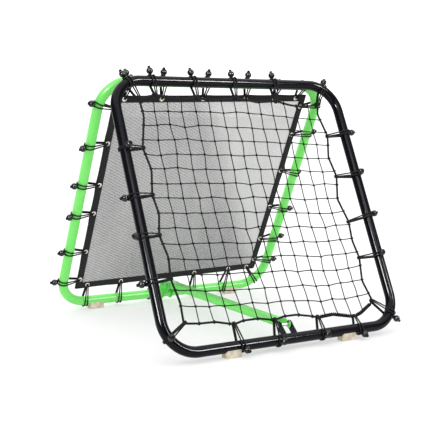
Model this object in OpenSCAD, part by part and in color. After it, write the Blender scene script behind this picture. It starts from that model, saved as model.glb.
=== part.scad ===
// Pitch back rebounder. Two square tube frames are hinged along their top bars
// and stand open as an A. The front one holds a knotted ball net, the rear one
// a woven mesh panel, both hung on elastic loops with balls. A strut between
// the bottom bars holds the A open. It hooks over a pin on the net frame and
// swivels on the bottom bar of the mesh frame.
//
// X runs across, Y from the net side to the mesh side, Z up. The origin is on
// the floor, under the hinge line. Each frame also has a plane of its own, with
// x across, y up its slope from the middle of its bottom bar, and z through it.

/* [Frames] */
// Outside width of each frame
frame_w = 800; // [790:5:820]
// Outside height of each frame, along its slope
frame_h = 808; // [800:2:820]
// Outside diameter of the frame tube
tube_d = 30; // [28:1:32]
// Wall of the frame tube
tube_wall = 1.2; // [1:0.1:2]
// Radius of the corner bends, to the middle of the tube
corner_r = 90; // [80:5:100]
// Lean of each frame from upright
lean = 26; // [22:1:30]
// Space between the two top bars
top_gap = 18; // [18:1:22]

/* [Net] */
// Squares across the net
squares_across = 14; // [10:1:16]
// Squares down the net
squares_down = 15; // [10:1:16]
// Thickness of the net twine
twine_d = 2.6; // [1.5:0.1:3]
// Thickness of the rope round the net
rope_d = 6; // [5:0.5:7]
// How far the twine has slid down the right side of the rope
right_slide = 18; // [0:1:22]
// How far the twine has slid up the left side of the rope
left_slide = 5; // [0:1:10]

/* [Mesh panel] */
// Thickness of the woven mesh
mesh_t = 0.8; // [0.6:0.1:1.2]
// Openings across and down the mesh, which stand for its see-through weave
mesh_openings = 12; // [6:1:12]
// Width of the mesh between two openings
mesh_bar = 27; // [20:1:35]
// Width of the webbing sewn round the mesh
webbing_w = 22; // [20:1:25]
// Thickness of the webbing
webbing_t = 3; // [2:0.5:4]
// Flange diameter of a grommet
grommet_d = 14; // [14:0.5:15]

/* [Elastic loops] */
// Thickness of the elastic cord
cord_d = 4; // [3:0.5:4]
// Diameter of a ball
ball_d = 20; // [16:1:22]

/* [Strut] */
// Width of the strut's channel
strut_w = 30; // [26:1:30]
// Height of the strut's channel
strut_h = 20; // [18:1:22]
// Sheet thickness of the strut's channel
strut_t = 1.6; // [1.2:0.1:2]
// Height of the strut's underside over the middle of the bottom bars
strut_up = 24.5; // [24:0.5:26]

/* [Feet] */
// Length of a rubber foot
foot_l = 50; // [40:1:70]
// Height of the frame tube over the floor
foot_h = 12; // [10:1:16]

/* [Hidden] */
$fn = 48;

FRAME_GREEN = "#78ec62";
GLOSS_BLACK = "#17171b";
CORD_BLACK = "#1d1d20";
ZINC = "#c9ccd0";
RUBBER = "#e3d9bd";
MESH_GREY = "#b9bdc0";
WEBBING_BLACK = "#26262a";
EYELET = "#e9e4d3";

// Overshoot of a cut that goes right through
past = 1;

// Frame plane: middles of the tubes
half_w = (frame_w - tube_d) / 2;
rise = frame_h - tube_d;
arc_x = half_w - corner_r;
half_gap = (top_gap + tube_d) / 2;
bar_y = half_gap + rise * sin(lean);
bar_z = foot_h + tube_d / 2;
hinge_z = bar_z + rise * cos(lean);
joiner_l = 120;
joiner_wall = 1.5;
joiner_clear = 0.1;

// Hinges: two, each a black fork round a green tongue on one bolt
hinge_x = 281;
lug_r = 8;
lug_h = 12;
tongue_w = 12;
fork_clear = 0.5;
fork_t = 4;
hinge_bolt_d = 6;
pin_clear = 0.05;
bolt_head_w = 10;
bolt_head_t = 4;
bolt_nut_t = 5;
bolt_end = 1;
fork_outer = tongue_w / 2 + fork_clear + fork_t;

// Feet
foot_w = 28;
foot_round = 6;
foot_top_drop = 4;
saddle_gap = 0.05;
net_foot_x = 194;
mesh_foot_x = 258;

// Routes of the rope round the net, one for each side: place along the side,
// and distance in from the middle of the tube. Places are across from the
// middle on the top and bottom, and up the slope on the sides.
rope_top = [
    [-309, 57], [-282, 49], [-254, 43], [-188, 54], [-121, 52], [-55, 58], [11, 48],
    [85, 62], [154, 57], [205, 70], [245, 74], [285, 71], [315, 58]
];
rope_right = [
    [73, 70], [138, 88], [209, 75], [263, 84], [323, 78], [396, 97], [470, 77],
    [533, 88], [604, 69], [678, 85], [720, 70]
];
rope_bottom = [
    [-321, 78], [-275, 73], [-227, 72], [-172, 59], [-140, 66], [-90, 66], [-40, 56], [-10, 63],
    [35, 63], [77, 55], [104, 48], [160, 51], [210, 41], [232, 36], [262, 45], [315, 73]
];
rope_left = [
    [78, 64], [133, 67], [200, 54], [258, 61], [322, 48], [381, 61], [436, 53],
    [508, 67], [573, 55], [668, 79], [721, 76]
];

// Loops that hold the net: where each holds the rope, where it goes round the
// tube, and how far its ball has turned about the tube, towards the front
net_top_ties = [[-254, -257, 10], [-121, -123, 5], [11, 14, 0], [154, 160, 0]];
net_bottom_ties = [[-172, -166, 55], [-40, -45, 70], [104, 103, 75], [232, 235, 45]];
net_left_ties = [[200, 196, -10], [322, 320, 25], [436, 432, 0], [573, 572, 90]];
net_right_ties = [[209, 212, 105], [323, 338, 0], [470, 472, 95], [604, 612, 0]];
// The same in the corners: angle round the bend, and turn
net_corner_ties = [[58, 0], [114, 0], [210, 75], [320, 0]];

// Outer corners of the mesh panel, from the top left, clockwise
panel = [[-342, 731], [333, 746], [340, 68], [-340, 53]];
// Its loops: grommet, place on the tube, and turn of the ball towards the inside
mesh_top_ties = [
    [-307, -305, -65], [-186, -195, 0], [-46, -48, 0], [105, 97, 0], [212, 212, -95], [295, 308, -118]
];
mesh_bottom_ties = [[-300, -298, -60], [-182, -178, -60], [-55, -60, -60], [94, 104, -60], [230, 225, -60]];
mesh_left_ties = [
    [88, 86, 0], [195, 199, 15], [336, 334, 25], [436, 438, 15], [577, 571, 25], [690, 703, 20]
];
mesh_right_ties = [
    [108, 103, 0], [195, 198, 0], [326, 318, 0], [467, 458, -25], [603, 608, -10], [705, 713, -35]
];
// The bottom right one goes out over the bend: its second number is an angle
mesh_corner_tie = [305, 310, -60];

// Elastic loops: two strands side by side, round the tube and the far end
strand_x = 2.2;
strand_lap = 0.1;
strand_thin = 0.04;
wrap_gap = 0.6;
far_gap = 0.15;
far_r = rope_d / 2 + cord_d / 2 + far_gap;
ball_bore_d = 9;
knot_d = 8;

// Mesh panel
edge_in = webbing_w / 2;
mesh_tuck = 5;
grommet_hole_d = 10.6;
grommet_bore_d = 9.2;
grommet_flange_t = 0.7;

// Catch on the net frame, in that frame's plane: up from the bar, and behind
pin_up = 44;
pin_back = 19;
pin_d = 8;
pin_head_w = 13;
pin_head_t = 5;
pin_nut_t = 6;
pin_end = 2;
pin_y = -bar_y + pin_up * sin(lean) + pin_back * cos(lean);
pin_z = bar_z + pin_up * cos(lean) - pin_back * sin(lean);
ear_r = 11;
ear_t = 3;
ear_clear = 1.5;
ear_x = strut_w / 2 + ear_clear;
slot_clear = 0.8;
slot_tilt = 12;

// Strut
tip_r = 11;
web_back = 27;
strut_bend = 3;
edge_step = 0.1;
plate_t = 3;
plate_eye_r = 20;
plate_reach = 62;
plate_gap = 0.2;
strut_bolt_d = 6;
strut_bolt_places = [[-12, 34], [-44, 34]];
plate_outer = strut_w / 2 + plate_gap + plate_t;
deck_z = bar_z + strut_up;

// Net and rope as solids
edge_over = 0.4;
rope_sides = 8;

// ---- Places -------------------------------------------------------------

// How far the tube has bent in, at a distance a past the start of a bend
function bend_in(a) = a <= 0 ? 0 : corner_r - sqrt(corner_r * corner_r - a * a);
function top_bar(x) = [x, rise - bend_in(abs(x) - arc_x)];
function bottom_bar(x) = [x, bend_in(abs(x) - arc_x)];
function leg_in(y) = bend_in(max(corner_r - y, y - rise + corner_r));
function right_leg(y) = [half_w - leg_in(y), y];
function left_leg(y) = [leg_in(y) - half_w, y];
function round_bend(a) = [
    sign(cos(a)) * arc_x + corner_r * cos(a),
    (sin(a) > 0 ? rise - corner_r : corner_r) + corner_r * sin(a)
];

// The rope's place on each side of the net
function rope_at_top(x) = [x, rise - lookup(x, rope_top)];
function rope_at_bottom(x) = [x, lookup(x, rope_bottom)];
function rope_at_left(y) = [lookup(y, rope_left) - half_w, y];
function rope_at_right(y) = [half_w - lookup(y, rope_right), y];

net_tl = rope_at_top(rope_top[0][0]);
net_tr = rope_at_top(rope_top[len(rope_top) - 1][0]);
net_br = rope_at_bottom(rope_bottom[len(rope_bottom) - 1][0]);
net_bl = rope_at_bottom(rope_bottom[0][0]);

// The whole rope, from the top left corner, clockwise
rope_route = concat(
    [for (p = rope_top) rope_at_top(p[0])],
    [for (k = [len(rope_right) - 2:-1:1]) rope_at_right(rope_right[k][0])],
    [for (k = [len(rope_bottom) - 1:-1:0]) rope_at_bottom(rope_bottom[k][0])],
    [for (k = [1:len(rope_left) - 2]) rope_at_left(rope_left[k][0])]
);

// Each tie: far end, place on the tube, turn of the ball about the tube
net_ties = concat(
    [for (t = net_top_ties) [rope_at_top(t[0]), top_bar(t[1]), t[2]]],
    [for (t = net_bottom_ties) [rope_at_bottom(t[0]), bottom_bar(t[1]), t[2]]],
    [for (t = net_left_ties) [rope_at_left(t[0]), left_leg(t[1]), t[2]]],
    [for (t = net_right_ties) [rope_at_right(t[0]), right_leg(t[1]), t[2]]],
    [for (k = [0:3]) [
        [net_tr, net_tl, net_bl, net_br][k], round_bend(net_corner_ties[k][0]), net_corner_ties[k][1]
    ]]
);

// Points in from the panel's edges by d, at a place along the edge
function panel_top(x, d) = [x, lookup(x, [panel[0], panel[1]]) - d];
function panel_bottom(x, d) = [x, lookup(x, [panel[3], panel[2]]) + d];
function swap(p) = [p[1], p[0]];
function panel_left(y, d) = [lookup(y, [swap(panel[3]), swap(panel[0])]) + d, y];
function panel_right(y, d) = [lookup(y, [swap(panel[2]), swap(panel[1])]) - d, y];

// Each mesh tie: grommet, place on the tube, turn of the ball
mesh_ties = concat(
    [for (t = mesh_top_ties) [panel_top(t[0], edge_in), top_bar(t[1]), t[2]]],
    [for (t = mesh_bottom_ties) [panel_bottom(t[0], edge_in), bottom_bar(t[1]), t[2]]],
    [for (t = mesh_left_ties) [panel_left(t[0], edge_in), left_leg(t[1]), t[2]]],
    [for (t = mesh_right_ties) [panel_right(t[0], edge_in), right_leg(t[1]), t[2]]],
    [[panel_bottom(mesh_corner_tie[0], edge_in), round_bend(mesh_corner_tie[1]), mesh_corner_tie[2]]]
);

function unit(v) = v / norm(v);
function clipped(a, limit) = max(abs(a) - limit, 0) * sign(a);

// Angle between a tie and the square out of the tube
function tie_slant(tie) = let (
    out = unit([clipped(tie[1][0], arc_x), clipped(tie[1][1] - rise / 2, rise / 2 - corner_r)])
) acos(min(1, out * unit(tie[1] - tie[0])));

// Radius of a strand round the tube: a slanting tie cuts the tube in an oval
function wrap_r(tie) = let (slant = tie_slant(tie))
    tube_d / 2 / cos(slant) + (strand_x + cord_d / 2) * tan(slant) + cord_d / 2 + wrap_gap;
function ball_up(tie) = wrap_r(tie) + cord_d / 2 + ball_d / 2 + far_gap;
function knot_up(tie) = ball_up(tie) + ball_d / 2 + knot_d / 4;

// How far a loop reaches past the rope's middle, so that both of its strands
// are clear of the rope on each side of the tie
function rope_slack(tie) = let (
    n = len(rope_route),
    out = unit(tie[1] - tie[0]),
    at = [for (k = [0:n - 1]) if (norm(rope_route[k] - tie[0]) < 1) k][0]
) max([
    for (step = [1, n - 1]) let (
        back = max(0, -out * unit(rope_route[(at + step) % n] - tie[0]))
    ) ((strand_x + cord_d / 2) * back + rope_d / 2) / sqrt(1 - back * back) - rope_d / 2
]);
// A corner moved in by d along both of its edges
function drawn_in(p, q, r, d) = p + d * unit(q - p) + d * unit(r - p);
function inset_corners(c, d) = [
    for (k = [0:3]) drawn_in(c[k], c[(k + 1) % 4], c[(k + 3) % 4], d)
];

// Knots of the net: a grid stretched between the four sides of the rope. Where
// its rows end on the left and right sides, they have slid along the rope.
function side_mix(a, b, t) = a * (1 - t) + b * t;
function knot(i, j) = let (
    u = i / squares_across,
    w = j / squares_down,
    top = rope_at_top(side_mix(net_tl[0], net_tr[0], u)),
    bottom = rope_at_bottom(side_mix(net_bl[0], net_br[0], u)),
    left = rope_at_left(side_mix(net_tl[1], net_bl[1], w)),
    right = rope_at_right(side_mix(net_tr[1], net_br[1], w)),
    slides = j > 0 && j < squares_down
) slides && i == squares_across ? rope_at_right(right[1] - right_slide)
    : slides && i == 0 ? rope_at_left(left[1] + left_slide)
    : side_mix(left, right, u) + side_mix(top, bottom, w)
        - side_mix(side_mix(net_tl, net_tr, u), side_mix(net_bl, net_br, u), w);

// A knot on the rope is moved out past it, so that the gaps at the edge run
// under the rope
function inner(k, n) = min(max(k, 1), n - 1);
function cell_corner(i, j) = let (
    p = knot(i, j),
    q = knot(inner(i, squares_across), inner(j, squares_down))
) p + edge_over * (p - q);
function gap_corners(i, j) = inset_corners([
    cell_corner(i, j), cell_corner(i + 1, j), cell_corner(i + 1, j + 1), cell_corner(i, j + 1)
], twine_d / 2);

// ---- Shared shapes ------------------------------------------------------

// From a frame's plane to where the frame stands
module stand_net() {
    translate([0, -bar_y, bar_z]) rotate([90 - lean, 0, 0]) children();
}

module stand_mesh() {
    translate([0, bar_y, bar_z]) rotate([90 + lean, 0, 0]) children();
}

module tube_section() {
    difference() {
        circle(d = tube_d);
        circle(d = tube_d - 2 * tube_wall);
    }
}

// Upper half of a frame: two legs, two bends and the top bar
module upper_tube() {
    leg = rise / 2 - corner_r;
    for (side = [-1, 1]) {
        translate([side * half_w, rise / 2, 0]) rotate([-90, 0, 0]) linear_extrude(leg) tube_section();
        translate([side * arc_x, rise - corner_r, 0]) rotate([0, 0, side > 0 ? 0 : 90])
            rotate_extrude(angle = 90) translate([corner_r, 0]) tube_section();
    }
    translate([-arc_x, rise, 0]) rotate([0, 90, 0]) linear_extrude(2 * arc_x) tube_section();
}

module lower_tube() {
    translate([0, rise, 0]) mirror([0, 1, 0]) upper_tube();
}

// Sleeves inside the legs, where the upper half plugs on to the lower half
module joiners() {
    outer_d = tube_d - 2 * tube_wall - 2 * joiner_clear;
    for (side = [-1, 1])
        translate([side * half_w, rise / 2 - joiner_l / 2, 0]) rotate([-90, 0, 0])
            difference() {
                cylinder(d = outer_d, h = joiner_l);
                translate([0, 0, -past]) cylinder(d = outer_d - 2 * joiner_wall, h = joiner_l + 2 * past);
            }
}

// Plate in the YZ plane, its middle at x
module side_plate(x, thickness) {
    translate([x - thickness / 2, 0, 0]) rotate([90, 0, 90]) linear_extrude(thickness) children();
}

// Hinge lug: an eye on the hinge line and an arm to the top bar, side -1 or 1
module lug_outline(side) {
    difference() {
        union() {
            circle(r = lug_r);
            translate([side > 0 ? 0 : -half_gap, -lug_h / 2]) square([half_gap, lug_h]);
        }
        translate([side * half_gap, 0]) circle(d = tube_d);
        circle(d = hinge_bolt_d + 2 * pin_clear);
    }
}

module hex_prism(across_flats, thickness) {
    cylinder(d = across_flats / cos(30), h = thickness, $fn = 6);
}

module rounded_block(length, width, round_r, height) {
    linear_extrude(height) {
        square([length - 2 * round_r, width], center = true);
        square([length, width - 2 * round_r], center = true);
        for (x = [-1, 1], y = [-1, 1])
            translate([x * (length / 2 - round_r), y * (width / 2 - round_r)]) circle(r = round_r);
    }
}

// Rubber foot with a saddle for the bottom bar
module foot() {
    difference() {
        rounded_block(foot_l, foot_w, foot_round, bar_z - foot_top_drop);
        translate([-foot_l, 0, bar_z]) rotate([0, 90, 0])
            cylinder(d = tube_d + 2 * saddle_gap, h = 2 * foot_l);
    }
}

// Puts a tie's own axes in the frame's plane: x out from the far end to the
// tube, y through the plane, origin in the middle of the tube
module at_tie(tie) {
    run = tie[1] - tie[0];
    translate([tie[1][0], tie[1][1], 0]) rotate([0, 0, atan2(run[1], run[0])]) rotate([90, 0, 0])
        children();
}

// One strand: round the tube, straight to the far end, round it and back. The
// straight runs are a hair thinner, and end just inside the bends.
module strand(reach, around) {
    slope = asin((around - far_r) / reach);
    straight = sqrt(reach * reach - (around - far_r) * (around - far_r));
    rotate([0, 0, -90 - slope]) rotate_extrude(angle = 180 + 2 * slope)
        translate([around, 0]) circle(d = cord_d, $fn = 24);
    translate([-reach, 0, 0]) rotate([0, 0, 90 + slope]) rotate_extrude(angle = 180 - 2 * slope)
        translate([far_r, 0]) circle(d = cord_d, $fn = 24);
    for (side = [-1, 1])
        rotate([0, 0, side * (90 + slope)]) translate([around, -side * strand_lap, 0])
            rotate([-side * 90, 0, 0])
                cylinder(d = cord_d - strand_thin, h = straight + 2 * strand_lap, $fn = 24);
}

// Elastic loop: two strands, their ends up through the ball, and the knot
module elastic_loop(tie, slack) {
    around = wrap_r(tie);
    at_tie(tie) {
        for (side = [-1, 1]) {
            translate([0, 0, side * strand_x]) strand(norm(tie[1] - tie[0]) + slack, around);
            rotate([0, 0, tie[2]]) translate([around, 0, side * strand_x]) rotate([0, 90, 0])
                cylinder(d = cord_d - strand_thin, h = knot_up(tie) - around, $fn = 24);
        }
        rotate([0, 0, tie[2]]) translate([knot_up(tie), 0, 0]) sphere(d = knot_d, $fn = 24);
    }
}

module loop_ball(tie) {
    at_tie(tie) rotate([0, 0, tie[2]]) translate([ball_up(tie), 0, 0]) rotate([0, 90, 0]) difference() {
        sphere(d = ball_d);
        translate([0, 0, -ball_d]) cylinder(d = ball_bore_d, h = 2 * ball_d);
    }
}

// ---- Net frame ----------------------------------------------------------

module net_frame_upper_tube() {
    color(GLOSS_BLACK) stand_net() upper_tube();
}

module net_frame_lower_tube() {
    color(GLOSS_BLACK) stand_net() lower_tube();
}

module net_frame_joiners() {
    color(ZINC) stand_net() joiners();
}

module net_frame_hinge_lugs() {
    color(GLOSS_BLACK) translate([0, 0, hinge_z]) for (x = [-hinge_x, hinge_x], side = [-1, 1])
        side_plate(x + side * (tongue_w / 2 + fork_clear + fork_t / 2), fork_t) lug_outline(-1);
}

module net_frame_feet() {
    color(RUBBER) for (x = [-net_foot_x, net_foot_x]) translate([x, -bar_y, 0]) foot();
}

// Twine grid, cut out of a sheet that ends at the rope's inner face
module net() {
    color(CORD_BLACK) stand_net() linear_extrude(twine_d, center = true) difference() {
        polygon(rope_offset(-rope_d / 2));
        for (i = [0:squares_across - 1], j = [0:squares_down - 1]) polygon(gap_corners(i, j));
    }
}

// The rope's route moved sideways, outwards for a positive distance, mitred
function rope_offset(d) = [
    for (k = [0:len(rope_route) - 1]) rope_route[k] + d * rope_side(k)
];
function rope_side(k) = let (
    n = len(rope_route),
    before = unit(rope_route[k] - rope_route[(k + n - 1) % n]),
    after = unit(rope_route[(k + 1) % n] - rope_route[k]),
    side = unit([-before[1] - after[1], before[0] + after[0]])
) side / (side * [-before[1], before[0]]);

// Rope: one closed tube of flat sides, with a ring at each point of its route
module net_border_rope() {
    rings = len(rope_route);
    flat_r = rope_d / 2;
    corner = flat_r / cos(180 / rope_sides);
    points = [
        for (k = [0:rings - 1], m = [0:rope_sides - 1])
            let (
                a = 360 * (m + 0.5) / rope_sides,
                p = rope_route[k] + corner * cos(a) * rope_side(k)
            ) [p[0], p[1], corner * sin(a)]
    ];
    faces = [
        for (k = [0:rings - 1], m = [0:rope_sides - 1], half = [0, 1])
            let (
                a = k * rope_sides + m,
                b = k * rope_sides + (m + 1) % rope_sides,
                c = ((k + 1) % rings) * rope_sides + (m + 1) % rope_sides,
                d = ((k + 1) % rings) * rope_sides + m
            ) half == 0 ? [a, b, c] : [a, c, d]
    ];
    color(CORD_BLACK) stand_net() polyhedron(points, faces);
}

module net_bungee_cords() {
    color(CORD_BLACK) stand_net() for (tie = net_ties) elastic_loop(tie, rope_slack(tie));
}

module net_bungee_balls() {
    color(GLOSS_BLACK) stand_net() for (tie = net_ties) loop_ball(tie);
}

// Two ears that rise behind the bottom bar to the catch pin
module catch_bracket() {
    arm = norm([pin_y + bar_y, pin_z - bar_z]);
    arm_angle = atan2(pin_z - bar_z, pin_y + bar_y);
    color(GLOSS_BLACK) for (side = [-1, 1])
        side_plate(side * (ear_x + ear_t / 2), ear_t) translate([-bar_y, bar_z]) difference() {
            rotate(arm_angle) {
                translate([0, -ear_r]) square([arm, 2 * ear_r]);
                translate([arm, 0]) circle(r = ear_r);
            }
            circle(d = tube_d);
            rotate(arm_angle) translate([arm, 0]) circle(d = pin_d + 2 * pin_clear);
        }
}

// Cross pin: a bolt with its head on the left
module catch_pin() {
    color(ZINC) translate([-ear_x - ear_t, pin_y, pin_z]) rotate([0, 90, 0]) {
        cylinder(d = pin_d, h = 2 * (ear_x + ear_t) + pin_nut_t + pin_end);
        translate([0, 0, -pin_head_t]) hex_prism(pin_head_w, pin_head_t);
    }
}

// Nut with its bore, against the plane at z = 0
module nut(bolt_d, across_flats, thickness) {
    difference() {
        hex_prism(across_flats, thickness);
        translate([0, 0, -past]) cylinder(d = bolt_d + 2 * pin_clear, h = thickness + 2 * past);
    }
}

module catch_pin_nut() {
    color(ZINC) translate([ear_x + ear_t, pin_y, pin_z]) rotate([0, 90, 0])
        nut(pin_d, pin_head_w, pin_nut_t);
}

// Bolt along z: its head below z = 0, and room for a nut past the grip
module bolt(bolt_d, grip) {
    cylinder(d = bolt_d, h = grip + bolt_nut_t + bolt_end);
    translate([0, 0, -bolt_head_t]) hex_prism(bolt_head_w, bolt_head_t);
}

module hinge_bolts() {
    color(ZINC) for (x = [-hinge_x, hinge_x]) translate([x - fork_outer, 0, hinge_z]) rotate([0, 90, 0])
        bolt(hinge_bolt_d, 2 * fork_outer);
}

module hinge_nuts() {
    color(ZINC) for (x = [-hinge_x, hinge_x]) translate([x + fork_outer, 0, hinge_z]) rotate([0, 90, 0])
        nut(hinge_bolt_d, bolt_head_w, bolt_nut_t);
}

// ---- Mesh frame ---------------------------------------------------------

module mesh_frame_upper_tube() {
    color(FRAME_GREEN) stand_mesh() upper_tube();
}

module mesh_frame_lower_tube() {
    color(FRAME_GREEN) stand_mesh() lower_tube();
}

module mesh_frame_joiners() {
    color(ZINC) stand_mesh() joiners();
}

module mesh_frame_hinge_lugs() {
    color(FRAME_GREEN) translate([0, 0, hinge_z]) for (x = [-hinge_x, hinge_x])
        side_plate(x, tongue_w) lug_outline(1);
}

module mesh_frame_feet() {
    color(RUBBER) for (x = [-mesh_foot_x, mesh_foot_x]) translate([x, bar_y, 0]) foot();
}

module panel_sheet() {
    linear_extrude(mesh_t, center = true) polygon(inset_corners(panel, webbing_w - mesh_tuck));
}

// Place inside the webbing, at shares u across and w down
function mesh_place(u, w) = let (c = inset_corners(panel, webbing_w))
    side_mix(side_mix(c[0], c[1], u), side_mix(c[3], c[2], u), w);

// The mesh is a sheet with a plain grid of openings
module mesh_panel() {
    n = mesh_openings;
    color(MESH_GREY) stand_mesh() difference() {
        panel_sheet();
        linear_extrude(2 * mesh_t, center = true) for (i = [0:n - 1], j = [0:n - 1])
            polygon(inset_corners([
                mesh_place(i / n, j / n), mesh_place((i + 1) / n, j / n),
                mesh_place((i + 1) / n, (j + 1) / n), mesh_place(i / n, (j + 1) / n)
            ], mesh_bar / 2));
    }
}

// Webbing folded over the edge of the mesh, with a hole for each grommet
module mesh_border_webbing() {
    color(WEBBING_BLACK) stand_mesh() difference() {
        linear_extrude(webbing_t, center = true) difference() {
            polygon(panel);
            polygon(inset_corners(panel, webbing_w));
        }
        panel_sheet();
        for (tie = mesh_ties) translate([tie[0][0], tie[0][1], -webbing_t])
            cylinder(d = grommet_hole_d, h = 2 * webbing_t);
    }
}

// Grommet: a barrel through the webbing with a flange on each face
module mesh_grommets() {
    face = webbing_t / 2;
    outline = [
        [grommet_bore_d / 2, -face - grommet_flange_t], [grommet_d / 2, -face - grommet_flange_t],
        [grommet_d / 2, -face], [grommet_hole_d / 2 - pin_clear, -face],
        [grommet_hole_d / 2 - pin_clear, face], [grommet_d / 2, face],
        [grommet_d / 2, face + grommet_flange_t], [grommet_bore_d / 2, face + grommet_flange_t]
    ];
    color(EYELET) stand_mesh() for (tie = mesh_ties) translate([tie[0][0], tie[0][1], 0])
        rotate_extrude() polygon(outline);
}

module mesh_bungee_cords() {
    color(CORD_BLACK) stand_mesh() for (tie = mesh_ties) elastic_loop(tie, -far_r);
}

module mesh_bungee_balls() {
    color(GLOSS_BLACK) stand_mesh() for (tie = mesh_ties) loop_ball(tie);
}

// ---- Strut --------------------------------------------------------------

// Side view of a flange: straight run, round tip, and the slot that drops on
// to the catch pin
module flange_outline() {
    slot_w = pin_d + 2 * slot_clear;
    cheek = tip_r - edge_step;
    difference() {
        union() {
            translate([pin_y, deck_z]) square([bar_y - pin_y, strut_h]);
            translate([pin_y, pin_z]) circle(r = tip_r);
            translate([pin_y - cheek, pin_z]) square([cheek, deck_z + strut_h - pin_z - tip_r / 2]);
        }
        translate([pin_y, pin_z]) {
            circle(d = slot_w);
            rotate(-slot_tilt) translate([edge_step - slot_w / 2, 0])
                square([slot_w - 2 * edge_step, 2 * strut_h]);
        }
        for (place = strut_bolt_places)
            translate([bar_y + place[0], bar_z + place[1]]) circle(d = strut_bolt_d + 2 * pin_clear);
    }
}

// Block with its two top corners rounded, middle of its foot at the origin
module arched(width, height, round_r) {
    translate([-width / 2, 0]) square([width, height - round_r]);
    translate([round_r - width / 2, 0]) square([width - 2 * round_r, height]);
    for (side = [-1, 1])
        translate([side * (width / 2 - round_r), height - round_r]) circle(r = round_r);
}

// Channel folded from one sheet, open downwards, with its top cut back behind
// the slot
module strut_channel() {
    low = pin_z - 2 * tip_r;
    deep = deck_z + strut_h - low;
    run = bar_y - pin_y;
    color(FRAME_GREEN) difference() {
        intersection() {
            translate([0, bar_y + past, low]) rotate([90, 0, 0]) linear_extrude(run + 2 * tip_r)
                difference() {
                    arched(strut_w, deep, strut_bend);
                    translate([0, -past])
                        arched(strut_w - 2 * strut_t, deep + past - strut_t, strut_bend - strut_t);
                }
            side_plate(0, strut_w + 2 * past) flange_outline();
        }
        translate([strut_t - strut_w / 2, pin_y - 2 * tip_r, deck_z + strut_h / 2])
            cube([strut_w - 2 * strut_t, 2 * tip_r + web_back, strut_h]);
    }
}

// Two plates with eyes round the bottom bar, bolted to the channel's sides
module strut_swivel_plates() {
    color(FRAME_GREEN) for (side = [-1, 1])
        side_plate(side * (strut_w / 2 + plate_gap + plate_t / 2), plate_t) translate([bar_y, bar_z])
            difference() {
                union() {
                    circle(r = plate_eye_r);
                    translate([-plate_reach, strut_up]) square([plate_reach, strut_h]);
                    polygon([
                        [-plate_eye_r, 0], [-plate_reach, strut_up], [-plate_reach, strut_up + strut_h],
                        [0, strut_up + strut_h], [plate_eye_r, 0]
                    ]);
                }
                circle(d = tube_d + 2 * pin_clear);
                for (place = strut_bolt_places)
                    translate(place) circle(d = strut_bolt_d + 2 * pin_clear);
            }
}

module strut_bolts() {
    color(ZINC) for (place = strut_bolt_places)
        translate([-plate_outer, bar_y + place[0], bar_z + place[1]]) rotate([0, 90, 0])
            bolt(strut_bolt_d, 2 * plate_outer);
}

module strut_nuts() {
    color(ZINC) for (place = strut_bolt_places)
        translate([plate_outer, bar_y + place[0], bar_z + place[1]]) rotate([0, 90, 0])
            nut(strut_bolt_d, bolt_head_w, bolt_nut_t);
}

net_frame_upper_tube();
net_frame_lower_tube();
net_frame_joiners();
net_frame_hinge_lugs();
net_frame_feet();
net();
net_border_rope();
net_bungee_cords();
net_bungee_balls();
catch_bracket();
catch_pin();
catch_pin_nut();
hinge_bolts();
hinge_nuts();
mesh_frame_upper_tube();
mesh_frame_lower_tube();
mesh_frame_joiners();
mesh_frame_hinge_lugs();
mesh_frame_feet();
mesh_panel();
mesh_border_webbing();
mesh_grommets();
mesh_bungee_cords();
mesh_bungee_balls();
strut_channel();
strut_swivel_plates();
strut_bolts();
strut_nuts();
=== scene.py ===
# %% [markdown]
# # A pitch back rebounder
# Two square tube frames stand as an A. The black one in front holds a knotted
# ball net, the green one behind holds a woven mesh, and both hang on black
# elastic loops with balls. The tubes, feet, strut and metalwork arrive as
# finished solids. What is soft is made in this lesson: twine, rope, elastic,
# mesh and webbing.

# %% Load the frame
import math

import bpy
import numpy as np
from mathutils import Matrix, Vector


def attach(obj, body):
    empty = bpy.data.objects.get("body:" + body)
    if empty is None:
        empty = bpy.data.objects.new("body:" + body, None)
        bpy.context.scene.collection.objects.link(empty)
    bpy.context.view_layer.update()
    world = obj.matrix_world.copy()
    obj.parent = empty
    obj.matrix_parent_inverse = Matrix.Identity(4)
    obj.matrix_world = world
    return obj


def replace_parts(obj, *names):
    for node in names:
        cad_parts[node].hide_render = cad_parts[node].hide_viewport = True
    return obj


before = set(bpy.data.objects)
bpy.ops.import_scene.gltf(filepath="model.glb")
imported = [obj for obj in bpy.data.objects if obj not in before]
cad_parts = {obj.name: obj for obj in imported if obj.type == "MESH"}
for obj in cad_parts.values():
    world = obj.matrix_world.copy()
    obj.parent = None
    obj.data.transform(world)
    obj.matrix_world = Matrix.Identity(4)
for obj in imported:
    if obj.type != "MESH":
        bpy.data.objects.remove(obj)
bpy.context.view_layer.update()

# %% [markdown]
# ## Camera
# A camera could be dragged into place, but numbers can be checked and changed
# one at a time. This one is placed by an azimuth, an elevation, a distance and
# the point that it looks at. It stands low and to the left, about three metres
# away, with a long lens, so that the two frames hardly converge. It leans by
# half a degree.

# %% Place the camera
AZIMUTH, ELEVATION, ROLL = (math.radians(angle) for angle in (-31.414, 6.535, 0.627))
DISTANCE, LENS = 2.80058, 77.52
LOOK_AT = Vector((-0.027746, 0.0, 0.330951))

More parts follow.
